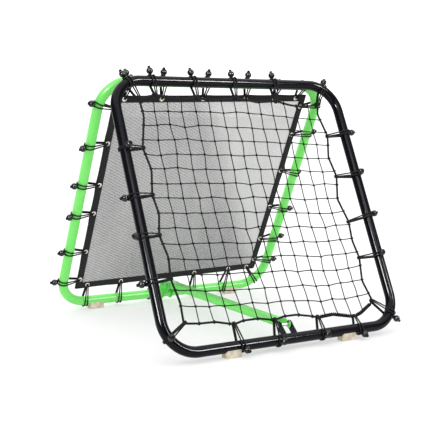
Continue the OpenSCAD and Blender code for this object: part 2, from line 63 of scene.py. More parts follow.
back = Vector((
    math.sin(AZIMUTH) * math.cos(ELEVATION), -math.cos(AZIMUTH) * math.cos(ELEVATION), math.sin(ELEVATION)))
level = Vector((0, 0, 1)).cross(back).normalized()
right = level * math.cos(ROLL) + back.cross(level) * math.sin(ROLL)
camera = bpy.data.objects.new("camera", bpy.data.cameras.new("camera"))
camera.data.lens = LENS
camera.data.sensor_width = 36
turn = Matrix((right, back.cross(right), back)).transposed().to_4x4()
camera.matrix_world = Matrix.Translation(LOOK_AT + back * DISTANCE) @ turn
bpy.context.collection.objects.link(camera)
bpy.context.scene.camera = camera
print("camera at", [round(c, 3) for c in camera.matrix_world.translation])

# %% [markdown]
# ## Finishes
# A finish is a small net of shader nodes. It could be wired by hand in the
# Shader Editor, but as text it can be read and reused. One function adds a
# node with its settings and links, and gives back an output for the next node.
# Colours are given as on a screen and turned into the linear light that shaders
# expect. Patterns are given by their real size, because a place on the object
# is in metres.

# %% Node helpers
def colour(code):
    """Screen colour such as #ff8800 as linear light: the sRGB curve undone."""
    parts = [int(code[i:i + 2], 16) / 255 for i in (1, 3, 5)]
    return (*[c / 12.92 if c <= 0.04045 else ((c + 0.055) / 1.055) ** 2.4 for c in parts], 1.0)


def add(mat, kind, inputs=None, out=0, **settings):
    """Adds one shader node and gives back one of its outputs. An input takes a value, or another
    node's output, which is then linked to it."""
    made = mat.node_tree.nodes.new("ShaderNode" + kind)
    for name, value in settings.items():
        setattr(made, name, value)
    for socket, value in (inputs or {}).items():
        if isinstance(value, bpy.types.NodeSocket):
            mat.node_tree.links.new(value, made.inputs[socket])
        else:
            made.inputs[socket].default_value = value
    return made.outputs[out] if len(made.outputs) else None


def bare(name):
    """A new finish with no nodes yet."""
    mat = bpy.data.materials.new(name)
    mat.use_nodes = True
    mat.node_tree.nodes.clear()
    return mat


def every(size):
    """Scale of a pattern whose features are so many millimetres across."""
    return 1000 / size


print("a mid grey #808080 is", round(colour("#808080")[0], 3), "as linear light")

# %% [markdown]
# ## Powder coat
# Both frames are steel tube with a gloss powder coat, baked on. Powder flows
# into a skin that is smooth but never flat: close up it has a fine orange peel,
# which gives every mirrored edge a slight waver. A flat colour with a low
# roughness would look like glass. So the base colour drifts a little over about
# 200 mm, the roughness wanders, and a fine noise bends the surface. The coat's
# specular level is set below a clear lacquer's, so that only lamps show in it.

# %% Paint the three coats
PEEL, BLOTCH, DRIFT = 1.4, 17, 200


def powder_coat(name, dark, light, rough, shine):
    mat = bare(name)
    here = add(mat, "TexCoord", out="Object")
    drift = add(mat, "TexNoise", {"Vector": here, "Scale": every(DRIFT), "Detail": 2})
    blotch = add(mat, "TexNoise", {"Vector": here, "Scale": every(BLOTCH), "Detail": 2})
    peel = add(mat, "TexNoise", {"Vector": here, "Scale": every(PEEL), "Detail": 1})
    skin = add(mat, "BsdfPrincipled", {
        "Base Color": add(mat, "Mix", {0: drift, 6: colour(dark), 7: colour(light)}, out=2, data_type="RGBA"),
        "Roughness": add(mat, "MapRange", {"Value": blotch, "To Min": rough, "To Max": rough + 0.06}),
        "Normal": add(mat, "Bump", {"Height": peel, "Distance": 0.00004}), "Specular IOR Level": shine})
    add(mat, "OutputMaterial", {"Surface": skin})
    return mat


black_coat = powder_coat("gloss_black_powder_coat", "#07070c", "#0d0d15", 0.08, 0.14)
green_coat = powder_coat("bright_green_powder_coat", "#6ad75c", "#7ee670", 0.25, 0.4)
# The deep green is a darker, more saturated paint for the strut's swivel plates, bolts and nuts, and part of
# its darkness is painted shade.
deep_green_and_shade_coat = powder_coat("deep_green_and_shade_powder_coat", "#44bd45", "#58cb55", 0.25, 0.3)
print("three powder coats, with an orange peel of", PEEL, "mm")

# %% [markdown]
# ## Zinc plate
# The hinge bolts and the catch pin are bright zinc on steel: a metal with a
# cloudy passivation, which the eye sees as patches of softer shine. One cloud
# pattern drives both the colour and the roughness, because both come from the
# same film.

# %% Plate the zinc
def zinc_plate():
    mat = bare("bright_zinc_plate")
    here = add(mat, "TexCoord", out="Object")
    cloud = add(mat, "TexNoise", {"Vector": here, "Scale": every(11), "Detail": 4})
    grain = add(mat, "TexNoise", {"Vector": here, "Scale": every(2), "Detail": 2})
    skin = add(mat, "BsdfPrincipled", {
        "Base Color": add(mat, "Mix", {
            0: cloud, 6: colour("#c2c4c4"), 7: colour("#e9e8e0")}, out=2, data_type="RGBA"),
        "Roughness": add(mat, "MapRange", {"Value": cloud, "To Min": 0.22, "To Max": 0.42}),
        "Normal": add(mat, "Bump", {"Height": grain, "Distance": 0.00004}), "Metallic": 1.0})
    add(mat, "OutputMaterial", {"Surface": skin})
    return mat


zinc = zinc_plate()
print("made", zinc.name)

# %% [markdown]
# ## Moulded rubber
# The feet are pale rubber, moulded in a sand-blasted tool, so they are matt and
# grainy. They stand on lawns and patios, and handling leaves cloudy grime about
# 18 mm across. Subsurface light would be dearer and hardly show on so small a
# block.

# %% Mould the rubber
def moulded_rubber():
    mat = bare("pale_moulded_rubber")
    here = add(mat, "TexCoord", out="Object")
    grime = add(mat, "TexNoise", {"Vector": here, "Scale": every(18), "Detail": 3})
    grain = add(mat, "TexNoise", {"Vector": here, "Scale": every(1.1), "Detail": 3})
    share = add(mat, "MapRange", {"Value": grime, "From Min": 0.3, "From Max": 0.7})
    skin = add(mat, "BsdfPrincipled", {
        "Base Color": add(mat, "Mix", {
            0: share, 6: colour("#a89b84"), 7: colour("#d6ccb8")}, out=2, data_type="RGBA"),
        "Roughness": 0.62, "Normal": add(mat, "Bump", {"Height": grain, "Distance": 0.0001})})
    add(mat, "OutputMaterial", {"Surface": skin})
    return mat


rubber = moulded_rubber()
print("made", rubber.name)

# %% [markdown]
# ## Moulded nylon
# The balls are black nylon from a polished mould. They are the glossiest things
# on the rebounder, and each shows a small bright dot. Where the melt flowed
# round the bore it leaves faint marks, about 8 mm across.

# %% Mould the nylon
def moulded_nylon():
    mat = bare("gloss_black_nylon")
    here = add(mat, "TexCoord", out="Object")
    flow = add(mat, "TexNoise", {"Vector": here, "Scale": every(8), "Detail": 3})
    ripple = add(mat, "TexNoise", {"Vector": here, "Scale": every(4), "Detail": 2})
    skin = add(mat, "BsdfPrincipled", {
        "Base Color": add(mat, "Mix", {
            0: flow, 6: colour("#060607"), 7: colour("#0e0e10")}, out=2, data_type="RGBA"),
        "Roughness": add(mat, "MapRange", {"Value": flow, "To Min": 0.06, "To Max": 0.12}),
        "Normal": add(mat, "Bump", {"Height": ripple, "Distance": 0.00003})})
    add(mat, "OutputMaterial", {"Surface": skin})
    return mat


nylon = moulded_nylon()
print("made", nylon.name)

# %% [markdown]
# ## Which solid gets which finish
# The solids already have the right shape, so each only needs its finish. They
# could be given new meshes, but a solid's own mesh is what the construction
# measured. So only the material in its slot changes.

# %% Finish the solids
FINISHES = {
    black_coat: ("net_frame_upper_tube", "net_frame_lower_tube", "net_frame_hinge_lugs", "catch_bracket"),
    green_coat: ("mesh_frame_upper_tube", "mesh_frame_lower_tube", "mesh_frame_hinge_lugs", "strut_channel"),
    deep_green_and_shade_coat: ("strut_swivel_plates", "strut_bolts", "strut_nuts"),
    zinc: (
        "net_frame_joiners", "mesh_frame_joiners", "catch_pin", "catch_pin_nut", "hinge_bolts", "hinge_nuts"),
    rubber: ("net_frame_feet", "mesh_frame_feet"),
    nylon: ("net_bungee_balls", "mesh_bungee_balls"),
}
for finish, nodes in FINISHES.items():
    for node in nodes:
        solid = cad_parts[node]
        if not solid.material_slots:
            solid.data.materials.append(finish)
        for slot in solid.material_slots:
            slot.material = finish
print("finished", sum(len(nodes) for nodes in FINISHES.values()), "solids")

# %% [markdown]
# ## Shapes from grids
# Everything new is a surface on a grid. A grid has rows and columns of points,
# and each square of four neighbours is a face. Curve objects with a bevel could
# give the cords too, but a grid also gives their UV map, whole arrays of cords
# take one step, and the result is plain mesh. The first helpers number the
# corners of such grids.

# %% Grids and pieces
def squares(rows, columns, loop_rows=False, loop_columns=False):
    """Corner numbers of a grid's squares, and the same corners as (row, column) for the UV map."""
    r, c = np.meshgrid(
        np.arange(rows - (not loop_rows)), np.arange(columns - (not loop_columns)), indexing="ij")
    corners = np.stack([np.stack([r + a, c + b], -1) for a, b in ((0, 0), (0, 1), (1, 1), (1, 0))], 2)
    numbers = (corners[..., 0] % rows) * columns + corners[..., 1] % columns
    return numbers.reshape(-1, 4), corners.reshape(-1, 4, 2)


def many(points, faces, corners):
    """The same grid of faces on each of several blocks of points."""
    blocks, size = points.shape[0], int(np.prod(points.shape[1:-1]))
    step = np.arange(blocks)[:, None, None] * size
    return points.reshape(-1, 3), (faces[None] + step).reshape(-1, 4), np.tile(corners, (blocks, 1, 1))


def piece(name, stand, lot, finish, body, smooth=True):
    """Makes an object at the origin from a lot (points, faces, UV places, caps) in millimetres, stood up
    in metres by the function stand, and lets it ride on a body."""
    points, faces, uv, caps = lot
    mesh = bpy.data.meshes.new(name)
    mesh.from_pydata(stand(points).tolist(), [], faces.tolist() + [list(map(int, cap)) for cap in caps])
    if uv is not None:
        places = np.zeros((len(mesh.loops), 2))
        places[:uv.size // 2] = uv.reshape(-1, 2)
        mesh.uv_layers.new(name="UVMap").data.foreach_set("uv", places.ravel())
    mesh.polygons.foreach_set("use_smooth", [smooth] * len(mesh.polygons))
    mesh.materials.append(finish)
    made = bpy.data.objects.new(name, mesh)
    bpy.context.collection.objects.link(made)
    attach(made, body)
    print(f"{name}: {len(mesh.vertices)} points, {len(mesh.polygons)} faces")
    return made


def joined(lots):
    """Several lots as one. A lot's corner numbers go up by the points that come before it."""
    firsts = np.cumsum([0] + [len(lot[0]) for lot in lots])
    uv = None if lots[0][2] is None else np.concatenate([lot[2] for lot in lots])
    return (
        np.concatenate([lot[0] for lot in lots]),
        np.concatenate([lot[1] + first for lot, first in zip(lots, firsts)]),
        uv, [cap + first for lot, first in zip(lots, firsts) for cap in lot[3]])


print("a grid of 3 by 4 points has", len(squares(3, 4)[0]), "faces")

# %% [markdown]
# ## Cords from paths
# Twine, rope, elastic and thread are all tubes along paths. At each point of a
# path stands a ring, square to the path, and rings that follow each other are
# joined by faces. The UV map runs once round the cord across and counts
# millimetres along it, so that a twist drawn on it follows the cord round every
# bend.

# %% Cord helpers
def unit(v):
    return v / np.linalg.norm(v, axis=-1, keepdims=True)


def tubes(paths, radius, sides, up, loop=False):
    """Tubes along paths, an array of (tube, point, xyz). A ring is the path's point plus
    radius times (cos a side + sin a top), where side is the path's direction crossed with up."""
    ahead = np.roll(paths, -1, 1) - np.roll(paths, 1, 1)
    if not loop:
        ahead[:, 0], ahead[:, -1] = paths[:, 1] - paths[:, 0], paths[:, -1] - paths[:, -2]
    ahead = unit(ahead)
    side = unit(np.cross(ahead, np.broadcast_to(up, paths.shape)))
    top = np.cross(side, ahead)
    turn = 2 * np.pi * np.arange(sides) / sides
    ring = np.cos(turn)[:, None] * side[:, :, None] + np.sin(turn)[:, None] * top[:, :, None]
    points = paths[:, :, None] + np.broadcast_to(radius, ring.shape[:3])[..., None] * ring
    faces, corners = squares(paths.shape[1], sides, loop, True)
    return points, faces[:, ::-1], corners[:, ::-1]


def tube_caps(count, rings, sides):
    """One many-sided face on each end of each open tube."""
    first = np.arange(count)[:, None] * rings * sides + np.arange(sides)
    return list(first) + list(first[:, ::-1] + (rings - 1) * sides)


def lengths(paths):
    """Distance run along each path at each of its points."""
    step = np.linalg.norm(np.diff(paths, axis=1), axis=-1)
    return np.concatenate([np.zeros((len(paths), 1)), np.cumsum(step, 1)], 1)


def cord_uv(paths, corners, sides, loop):
    """UV of tubes: once round is 0 to 1 across, and millimetres run up."""
    run = lengths(np.concatenate([paths, paths[:, :1]], 1) if loop else paths)
    rows = corners[..., 0].reshape(len(paths), -1)
    return np.stack([corners[..., 1] / sides, np.take_along_axis(run, rows, 1).reshape(-1, 4)], -1)


def cords(paths, radius, sides, up, loop=False):
    """Tubes along paths as one lot of points, faces, UV places and end caps."""
    points, faces, corners = many(*tubes(paths, radius, sides, up, loop))
    caps = [] if loop else tube_caps(len(paths), paths.shape[1], sides)
    return points, faces, cord_uv(paths, corners, sides, loop), caps


print("a straight 10 mm path has length", lengths(np.array([[(0.0, 0, 0), (10, 0, 0)]]))[0, -1])

# %% [markdown]
# ## The two frame planes
# The net and the mesh each lie in a leaning plane. Working in the room's own
# directions would mix the lean into every formula. So both are drawn flat, in
# millimetres, with x across, y up the slope from the bottom bar and z through
# it, and then stood up: turned about the bottom bar and moved out to it.

# %% Stand a drawing up
TUBE, RISE, HALF_W, BEND = 30, 778, 385, 90
LEAN = math.radians(26)
BAR_Y, BAR_Z = 24 + RISE * math.sin(LEAN), 27
Z = np.array((0, 0, 1.0))


def stood(points, tilt, foot):
    """Flat drawing in millimetres to its place in metres: a turn by tilt about the bottom bar."""
    x, y, z = np.moveaxis(np.asarray(points, float), -1, 0)
    c, s = math.cos(tilt), math.sin(tilt)
    return np.stack([x, foot + y * c - z * s, BAR_Z + y * s + z * c], -1) / 1000


def on_net_frame(points):
    return stood(points, math.pi / 2 - LEAN, -BAR_Y)


def on_mesh_frame(points):
    return stood(points, math.pi / 2 + LEAN, BAR_Y)


print("the net frame's top bar is at", on_net_frame((0, RISE, 0)).round(3))

# %% [markdown]
# ## Where the rope runs
# A rope borders the net. The elastic loops pull it out into points, and it runs
# nearly straight in between. A cloth or rope simulation could find that shape,
# but the net's pull is hard to guess, and the solid net already follows a
# chosen route. So each side is a list of places along it, with the distance in
# from the tube: the same lists that shape the solid.

# %% Rope route
ROPE_TOP = np.array([
    (-309, 57), (-282, 49), (-254, 43), (-188, 54), (-121, 52), (-55, 58), (11, 48),
    (85, 62), (154, 57), (205, 70), (245, 74), (285, 71), (315, 58)], float)
ROPE_RIGHT = np.array([
    (73, 70), (138, 88), (209, 75), (263, 84), (323, 78), (396, 97), (470, 77),
    (533, 88), (604, 69), (678, 85), (720, 70)], float)
ROPE_BOTTOM = np.array([
    (-321, 78), (-275, 73), (-227, 72), (-172, 59), (-140, 66), (-90, 66), (-40, 56), (-10, 63),
    (35, 63), (77, 55), (104, 48), (160, 51), (210, 41), (232, 36), (262, 45), (315, 73)], float)
ROPE_LEFT = np.array([
    (78, 64), (133, 67), (200, 54), (258, 61), (322, 48), (381, 61), (436, 53),
    (508, 67), (573, 55), (668, 79), (721, 76)], float)


def at_top(x):
    return np.stack([x, RISE - np.interp(x, *ROPE_TOP.T)], -1)


def at_bottom(x):
    return np.stack([x, np.interp(x, *ROPE_BOTTOM.T)], -1)


def at_left(y):
    return np.stack([np.interp(y, *ROPE_LEFT.T) - HALF_W, y], -1)


def at_right(y):
    return np.stack([HALF_W - np.interp(y, *ROPE_RIGHT.T), y], -1)


route = np.concatenate([
    at_top(ROPE_TOP[:, 0]), at_right(ROPE_RIGHT[-2:0:-1, 0]),
    at_bottom(ROPE_BOTTOM[::-1, 0]), at_left(ROPE_LEFT[1:-1, 0])])
tl, tr, br, bl = route[np.cumsum([0] + [len(side) - 1 for side in (ROPE_TOP, ROPE_RIGHT, ROPE_BOTTOM)])]
print("the rope's route has", len(route), "points, with corners at", tl, tr, br, bl)

# %% [markdown]
# A rope can't fold, so each point of the route is rounded. A bevel would need a
# radius that fits every angle. A parabola between two places on the straights
# always fits, and starts and ends along them.

# %% Round the rope's route
def rounded_loop(points, cut, steps):
    """Closed line through the points with each one rounded: from cut before it to cut after it the
    line is (1-t)^2 times the first place, 2t(1-t) times the point and t^2 times the last place."""
    t = np.linspace(0, 1, steps)[:, None]
    first, last = (points + cut * unit(np.roll(points, shift, 0) - points) for shift in (1, -1))
    curve = (1 - t)**2 * first[:, None] + 2 * t * (1 - t) * points[:, None] + t**2 * last[:, None]
    return curve.reshape(-1, points.shape[1])


def evened(points, gap):
    """The same closed curve with its points a fixed distance apart."""
    closed = np.concatenate([points, points[:1]])
    run = np.concatenate([[0], np.cumsum(np.linalg.norm(np.diff(closed, axis=0), axis=1))])
    at = np.linspace(0, run[-1], int(round(run[-1] / gap)), endpoint=False)
    return np.stack([np.interp(at, run, closed[:, k]) for k in range(points.shape[1])], -1), run[-1]


rope_line, rope_length = evened(rounded_loop(route, 7.0, 6), 2.0)
print("the rope is", round(rope_length), "mm round")

# %% [markdown]
# ## Cord finishes
# The twine is twisted polyester, the rope is laid from three strands, and the
# elastic has a braided sleeve. All three are dyed black, matt, and slightly
# fuzzy. Slanted waves on the cord's own UV map draw the strands, and one wave
# each way draws a braid. Real strands here are 1 to 2 mm wide and too fine to
# show, so they are drawn at 3 to 9 mm.

# %% Twine, rope and elastic
# At this scale a wave along one axis repeats once for every whole step of its place. A diagonal wave
# needs twice that.
WAVE = 2 * math.pi / 20


def cord_finish(name, dark, light, strands, twist, depth, braid=False):
    """Dyed cord with so many strands, which turn once round it in so many millimetres."""
    mat = bare(name)
    on_cord = add(mat, "TexCoord", out="UV")
    waves = []
    for slant in (-1, 1) if braid else (-1,):
        spread = add(mat, "Mapping", {"Vector": on_cord, "Scale": (strands, slant * strands / twist, 1)})
        waves.append(add(
            mat, "TexWave", {"Vector": spread, "Scale": 2 * WAVE, "Distortion": 0.4, "Detail": 1}, out="Fac",
            bands_direction="DIAGONAL"))
    # The higher of the two waves is on top. A twisted cord has only one, which stays as it is.
    height = add(mat, "Math", {0: waves[0], 1: waves[-1]}, operation="MAXIMUM")
    here = add(mat, "TexCoord", out="Object")
    fluff = add(mat, "TexNoise", {"Vector": here, "Scale": every(0.7), "Detail": 3})
    # Painted shade: the colour follows the strands' height, so the grooves between strands are darker, and
    # the fluff noise varies it at random.
    tone = add(mat, "Math", {0: height, 1: fluff}, operation="MULTIPLY")
    skin = add(mat, "BsdfPrincipled", {
        "Base Color": add(mat, "Mix", {0: tone, 6: colour(dark), 7: colour(light)}, out=2, data_type="RGBA"),
        "Roughness": 0.75, "Normal": add(mat, "Bump", {"Height": height, "Distance": depth}),
        "Specular IOR Level": 0.15, "Sheen Weight": 0.06, "Sheen Roughness": 0.4})
    add(mat, "OutputMaterial", {"Surface": skin})
    return mat


ROPE_LAY = 26.0
polyester_twine = cord_finish("twisted_polyester_twine", "#060607", "#1e1e22", 2, 20, 0.0003)
laid_rope = cord_finish("laid_polypropylene_rope", "#09090b", "#2c2c31", 3, ROPE_LAY, 0.0004)
braided_elastic = cord_finish("braided_elastic_cord", "#060607", "#242428", 3, 24, 0.00025, braid=True)
print("three cord finishes, the rope's with a lay of", ROPE_LAY, "mm")

# %% [markdown]
# ## The net's rope
# A laid rope of three strands. A plain tube with a twisted picture on it keeps
# a straight outline. Here the section itself isn't round: the radius swells
# three times on the way round, and that pattern turns as it runs along, so the
# outline looks twisted from afar.

# %% Lay the rope
ROPE_R, ROPE_SIDES = 3.0, 15
rope_path = np.concatenate([rope_line, np.zeros((len(rope_line), 1))], 1)[None]
turns = round(rope_length / ROPE_LAY)
twist = np.arange(len(rope_line))[:, None] / len(rope_line) * turns * 2 * np.pi
around = 2 * np.pi * np.arange(ROPE_SIDES) / ROPE_SIDES
swell = 1 + 0.13 * (np.abs(np.cos(1.5 * (around - twist))) - 0.6)
rope = piece(
    "net_rope_laid", on_net_frame, cords(rope_path, ROPE_R * swell[None], ROPE_SIDES, Z, loop=True),
    laid_rope, "net_frame")
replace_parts(rope, "net_border_rope")

# %% [markdown]
# ## The net's knots
# The net is a grid of knots, stretched between the four sides of the rope. A
# Coons patch fills such a frame. It blends left to right and top to bottom, and
# takes the blended corners off once, because both blends counted them. Where
# the rows end on the left and right sides, they have slid along the rope.

# %% Spread the knots
ACROSS, DOWN = 14, 15
RIGHT_SLIDE, LEFT_SLIDE = 18, 5
u, w = np.meshgrid(np.linspace(0, 1, ACROSS + 1), np.linspace(0, 1, DOWN + 1))
u, w = u[..., None], w[..., None]
knots = (
    (1 - u) * at_left(tl[1] + w[..., 0] * (bl[1] - tl[1]))
    + u * at_right(tr[1] + w[..., 0] * (br[1] - tr[1]))
    + (1 - w) * at_top(tl[0] + u[..., 0] * (tr[0] - tl[0]))
    + w * at_bottom(bl[0] + u[..., 0] * (br[0] - bl[0]))
    - (1 - w) * ((1 - u) * tl + u * tr) - w * ((1 - u) * bl + u * br))
knots[1:-1, -1] = at_right(knots[1:-1, -1, 1] - RIGHT_SLIDE)
knots[1:-1, 0] = at_left(knots[1:-1, 0, 1] + LEFT_SLIDE)
print("knots", knots.shape[:2], "about", round(float(np.linalg.norm(knots[7, 7] - knots[7, 8]))), "mm apart")

# %% [markdown]
# A patch carries every dent of the rope right across the net, but real twine
# pulls straight. So each knot inside is moved to the middle of its four
# neighbours, a few times over, as if all four pulled equally. Tied by hand or by
# machine, real knots then still sit about two millimetres off.

# %% Pull the twine straight
PULLS, UNEVEN = 6, 1.9
for _ in range(PULLS):
    knots[1:-1, 1:-1] = (knots[:-2, 1:-1] + knots[2:, 1:-1] + knots[1:-1, :-2] + knots[1:-1, 2:]) / 4
rng = np.random.default_rng(8)
knots[1:-1, 1:-1] += rng.normal(0, UNEVEN, knots[1:-1, 1:-1].shape)
knots = np.concatenate([knots, rng.normal(0, 0.5, (*knots.shape[:2], 1))], -1)
print("a knot near the middle is at", knots[7, 7].round(1))

# %% [markdown]
# ## The net's twine
# Each run of twine goes from one knot to the next. Straight runs look like
# wire. So each is a line of short steps that bows by half a millimetre or so,
# one way or the other, because no run is quite as tight as its neighbour.

# %% String the twine
TWINE_R, STEPS = 1.55, 4


def strung(lines):
    """Lines of knots, an array of (line, knot, xyz), with bowed steps in between: each run
    is straight plus a bow of sin(pi t), square to it in the plane of the net."""
    t = np.arange(STEPS)[:, None] / STEPS
    start, end = lines[:, :-1, None], lines[:, 1:, None]
    across = unit(np.cross(end - start, Z))
    bow = rng.normal(0, 0.7, (*lines[:, 1:].shape[:2], 1, 1)) * np.sin(np.pi * t)
    points = start + (end - start) * t + across * bow
    return np.concatenate([points.reshape(len(lines), -1, 3), lines[:, -1:]], 1)


runs = [strung(lines) for lines in (knots[:, 1:-1].transpose(1, 0, 2), knots[1:-1])]
twine = piece(
    "net_twine", on_net_frame, joined([cords(run, TWINE_R, 6, Z) for run in runs]),
    polyester_twine, "net_frame")
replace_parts(twine, "net")
print("the net holds", round(sum(lengths(run)[:, -1].sum() for run in runs) / 1000, 1), "m of twine")

# %% [markdown]
# ## Tied knots
# A small ball at each crossing would do from afar, but a knot's outline is
# lumpy. The trefoil is the simplest closed curve that winds through itself. One
# small trefoil of twine, turned by a chance angle, sits on each crossing.

# %% Tie the knots
def trefoil(count):
    """A curve that winds through itself: (sin t + 2 sin 2t, cos t - 2 cos 2t, -sin 3t) / 3."""
    t = 2 * np.pi * np.arange(count) / count
    return np.stack([np.sin(t) + 2 * np.sin(2 * t), np.cos(t) - 2 * np.cos(2 * t), -np.sin(3 * t)], -1) / 3


def knotted(centres, first, second, third, size, thick, count, sides):
    """Trefoils at the centres, each drawn along its own three directions."""
    x, y, z = (trefoil(count)[:, k, None] for k in range(3))
    paths = centres[:, None] + size * (x * first[:, None] + y * second[:, None] + z * third[:, None])
    return cords(paths, thick, sides, third[:, None], loop=True)


KNOT_SIZE, KNOT_R = 2.8, 1.75
inside = knots[1:-1, 1:-1].reshape(-1, 3)
spin = rng.uniform(0, 2 * np.pi, len(inside))[:, None]
first = np.cos(spin) * (1, 0, 0) + np.sin(spin) * (0, 1, 0)
crossing_knots = knotted(inside, first, np.cross(Z, first), Z + 0 * first, KNOT_SIZE, KNOT_R, 14, 5)
net_knots = piece("net_knots", on_net_frame, crossing_knots, polyester_twine, "net_frame")

# %% [markdown]
# ## Hitches
# Each line of twine ends in a hitch round the rope. A whole hitch is a dozen
# turns of thin cord, mostly hidden. One ring of twine, square to the rope, is
# the part that shows.

# %% Hitch the twine to the rope
edge = np.concatenate([knots[0, 1:-1], knots[-1, 1:-1], knots[1:-1, 0], knots[1:-1, -1]])
nearest = np.argmin(np.linalg.norm(rope_line[None] - edge[:, None, :2], axis=-1), 1)
ahead = unit(rope_path[0, (nearest + 2) % len(rope_line)] - rope_path[0, nearest - 2])
t = 2 * np.pi * np.arange(12)[:, None] / 12
hitch_paths = rope_path[0, nearest][:, None] + (ROPE_R + 0.9) * (
    np.cos(t) * np.cross(ahead, Z)[:, None] + np.sin(t) * Z)
net_hitches = piece(
    "net_hitches", on_net_frame, cords(hitch_paths, 1.6, 6, ahead[:, None], loop=True),
    polyester_twine, "net_frame")

# %% [markdown]
# ## Lashing in the lower right corner
# There the net's spare edge is gathered on to the rope and lashed with a wound
# twine. A thicker rope would look smooth. A winding is a helix: a point that
# goes round the rope's middle line while it moves along it. The two lashed
# stretches lie between the ties, which keep their own places on the rope.

# %% Wind the lashing
LASH_R, LASH_LAY, LASHED = 1.6, 6.5, ((114, 222), (242, 302))


def wound(start, end, count=240):
    """A helix round the rope's bottom stretch: its middle plus r (cos a across + sin a z), where the
    angle a grows by a full turn for every lay of length."""
    middle = np.concatenate([at_bottom(np.linspace(start, end, count)), np.zeros((count, 1))], 1)
    across = unit(np.cross(np.gradient(middle, axis=0), Z))
    angle = (2 * np.pi / LASH_LAY * lengths(middle[None])[0])[:, None]
    return middle + (ROPE_R + 0.7 * LASH_R) * (np.cos(angle) * across + np.sin(angle) * Z)


lash_paths = np.stack([wound(*stretch) for stretch in LASHED])
lashing = piece(
    "net_lashing", on_net_frame, cords(lash_paths, LASH_R, 6, (1, 0, 0)),
    polyester_twine, "net_frame")

# %% [markdown]
# ## Elastic loops
# Each tie is one elastic cord. It starts in a knot above its ball, goes down
# through the ball, round the back of the tube to the net or eyelet, through it,
# over the front of the tube, and hooks round under the ball. Then it runs the
# same way back. A hand-drawn curve would have to be drawn 44 times. Here half
# of the path is put together from arcs and straights, for all ties at once, and
# the other half is its mirror image.

# %% Arcs and straights
def turned(x, y, angle):
    """Places or directions turned by an angle: (x cos - y sin, x sin + y cos)."""
    c, s = np.cos(angle), np.sin(angle)
    return np.stack([c * x - s * y, s * x + c * y], -1)


def arc(start, end, count, centre_x, radius):
    """Arc round (centre_x, 0) from one angle to another: its points, and its outward directions."""
    angle = start + (end - start) * np.linspace(0, 1, count)
    out = turned(1, 0, angle)
    return radius[..., None] * out + np.stack([centre_x + 0 * angle, 0 * angle], -1), out


def straight(before, after):
    """Six steps from the end of one run to the start of the next."""
    t = np.linspace(0, 1, 8)[1:-1, None]
    last = before[0][:, -1:]
    return last + (after[0][:, :1] - last) * t, before[1][:, -1:] + 0 * t


quarter_arc = arc(np.array([[0.0]]), np.array([[np.pi / 2]]), 3, 0, np.array([[5.0]]))[0]
print("a quarter arc of radius 5 ends at", quarter_arc[0, -1].round(3))

# %% [markdown]
# The two ends of the half path are special. At the start the cord comes down
# the ball's bore and bends on to the back of the tube. At the end it climbs to
# the ball and closes sideways round it.

# %% Neck and hook
ELASTIC_R, NEAR, WIDE = 2.05, 2.1, 6.6
BALL_R, HOOK_IN = 10.0, 9.85


def neck(top, low, wrap, turn):
    """From the knot at top down the bore to low, then a bend of 75 degrees towards the radius wrap."""
    bore_x = top + (low - top) * np.linspace(0, 1, 5)
    bend = np.radians(np.linspace(0, 75, 5)) + 0 * top
    x = np.concatenate([bore_x, low - (low - wrap) * np.sin(bend)], 1)
    y = np.concatenate([0 * bore_x, (low - wrap) * (np.cos(bend) - 1)], 1)
    out_x, out_y = (np.concatenate([bore, part], 1) for bore, part in (
        (0 * bore_x, np.sin(bend)), (0 * bore_x - 1, -np.cos(bend))))
    return turned(x, y, turn), turned(out_x, out_y, turn)


def hook(wrap, ball_up, turn):
    """Round under the ball: the height grows with sin squared, and the cord leans over with sin."""
    quarter = np.radians(np.linspace(0, 90, 7)[1:])
    x = wrap + (ball_up - HOOK_IN - wrap) * np.sin(quarter) ** 2
    return turned(x, -WIDE * np.sin(quarter), turn), turned(1 + 0 * x, 0 * x, turn)


def half_loop(reach, turn, far_r, wrap, ball_up):
    """Half a tie in its own plane, for arrays of reach (tube to far end), turn (of the ball), wrap (the
    cord's radius round the tube) and ball_up (tube to ball): a belt round the tube and round a circle of
    radius far_r. Gives points, whose third number is the distance from the mirror plane, and the cord's
    outward directions."""
    reach, turn, wrap, ball_up = (v[:, None] for v in (reach, turn, wrap, ball_up))
    quarter = np.pi / 2 + np.arcsin((wrap - far_r) / reach)
    start = neck(ball_up + BALL_R + 1.5, ball_up - BALL_R + 1, wrap, turn)
    behind = arc(turn - np.radians(19), -quarter, 13, 0, wrap)
    tip = arc(-quarter, quarter - 2 * np.pi, 11, -reach, far_r + 0 * reach)
    front = arc(quarter, turn, 14, 0, wrap)
    runs = [start, behind, straight(behind, tip), tip, straight(tip, front), front, hook(wrap, ball_up, turn)]
    flat, out = (np.concatenate([run[k] for run in runs], 1) for k in (0, 1))
    close = sum(run[0].shape[1] for run in runs[:4])
    opening = np.concatenate([np.zeros(close), 0.55 * np.linspace(0, 1, 8)[1:-1], np.linspace(0.55, 1, 14)])
    closing = WIDE * np.cos(np.radians(np.linspace(0, 90, 7)[1:]))
    side = np.concatenate([NEAR + (WIDE - NEAR) * opening, closing])
    return np.concatenate([flat, np.broadcast_to(side[None, :, None], (*flat.shape[:2], 1))], -1), out


print("a ball is", 2 * BALL_R, "mm across, its cord", 2 * ELASTIC_R, "mm")

# %% [markdown]
# How high a ball sits depends on how squarely its tie meets the tube. A tie
# that leans sideways crosses the tube on a slant, where the tube is wider. The
# solid balls were placed by this sum, so the cords use it too.

# %% Fit the ties to the tube
STRAND_X, CORD_D, WRAP_GAP, FAR_GAP, ROPE_D = 2.2, 4.0, 0.6, 0.15, 6.0


def squarely_out(near):
    """Direction square out of the tube, in the frame's plane, at places on the tube: away from the
    bar or leg, and in a bend away from the bend's centre."""
    past = np.abs(near - (0, RISE / 2)) - (HALF_W - BEND, RISE / 2 - BEND)
    return unit(past.clip(0) * np.sign(near - (0, RISE / 2)))


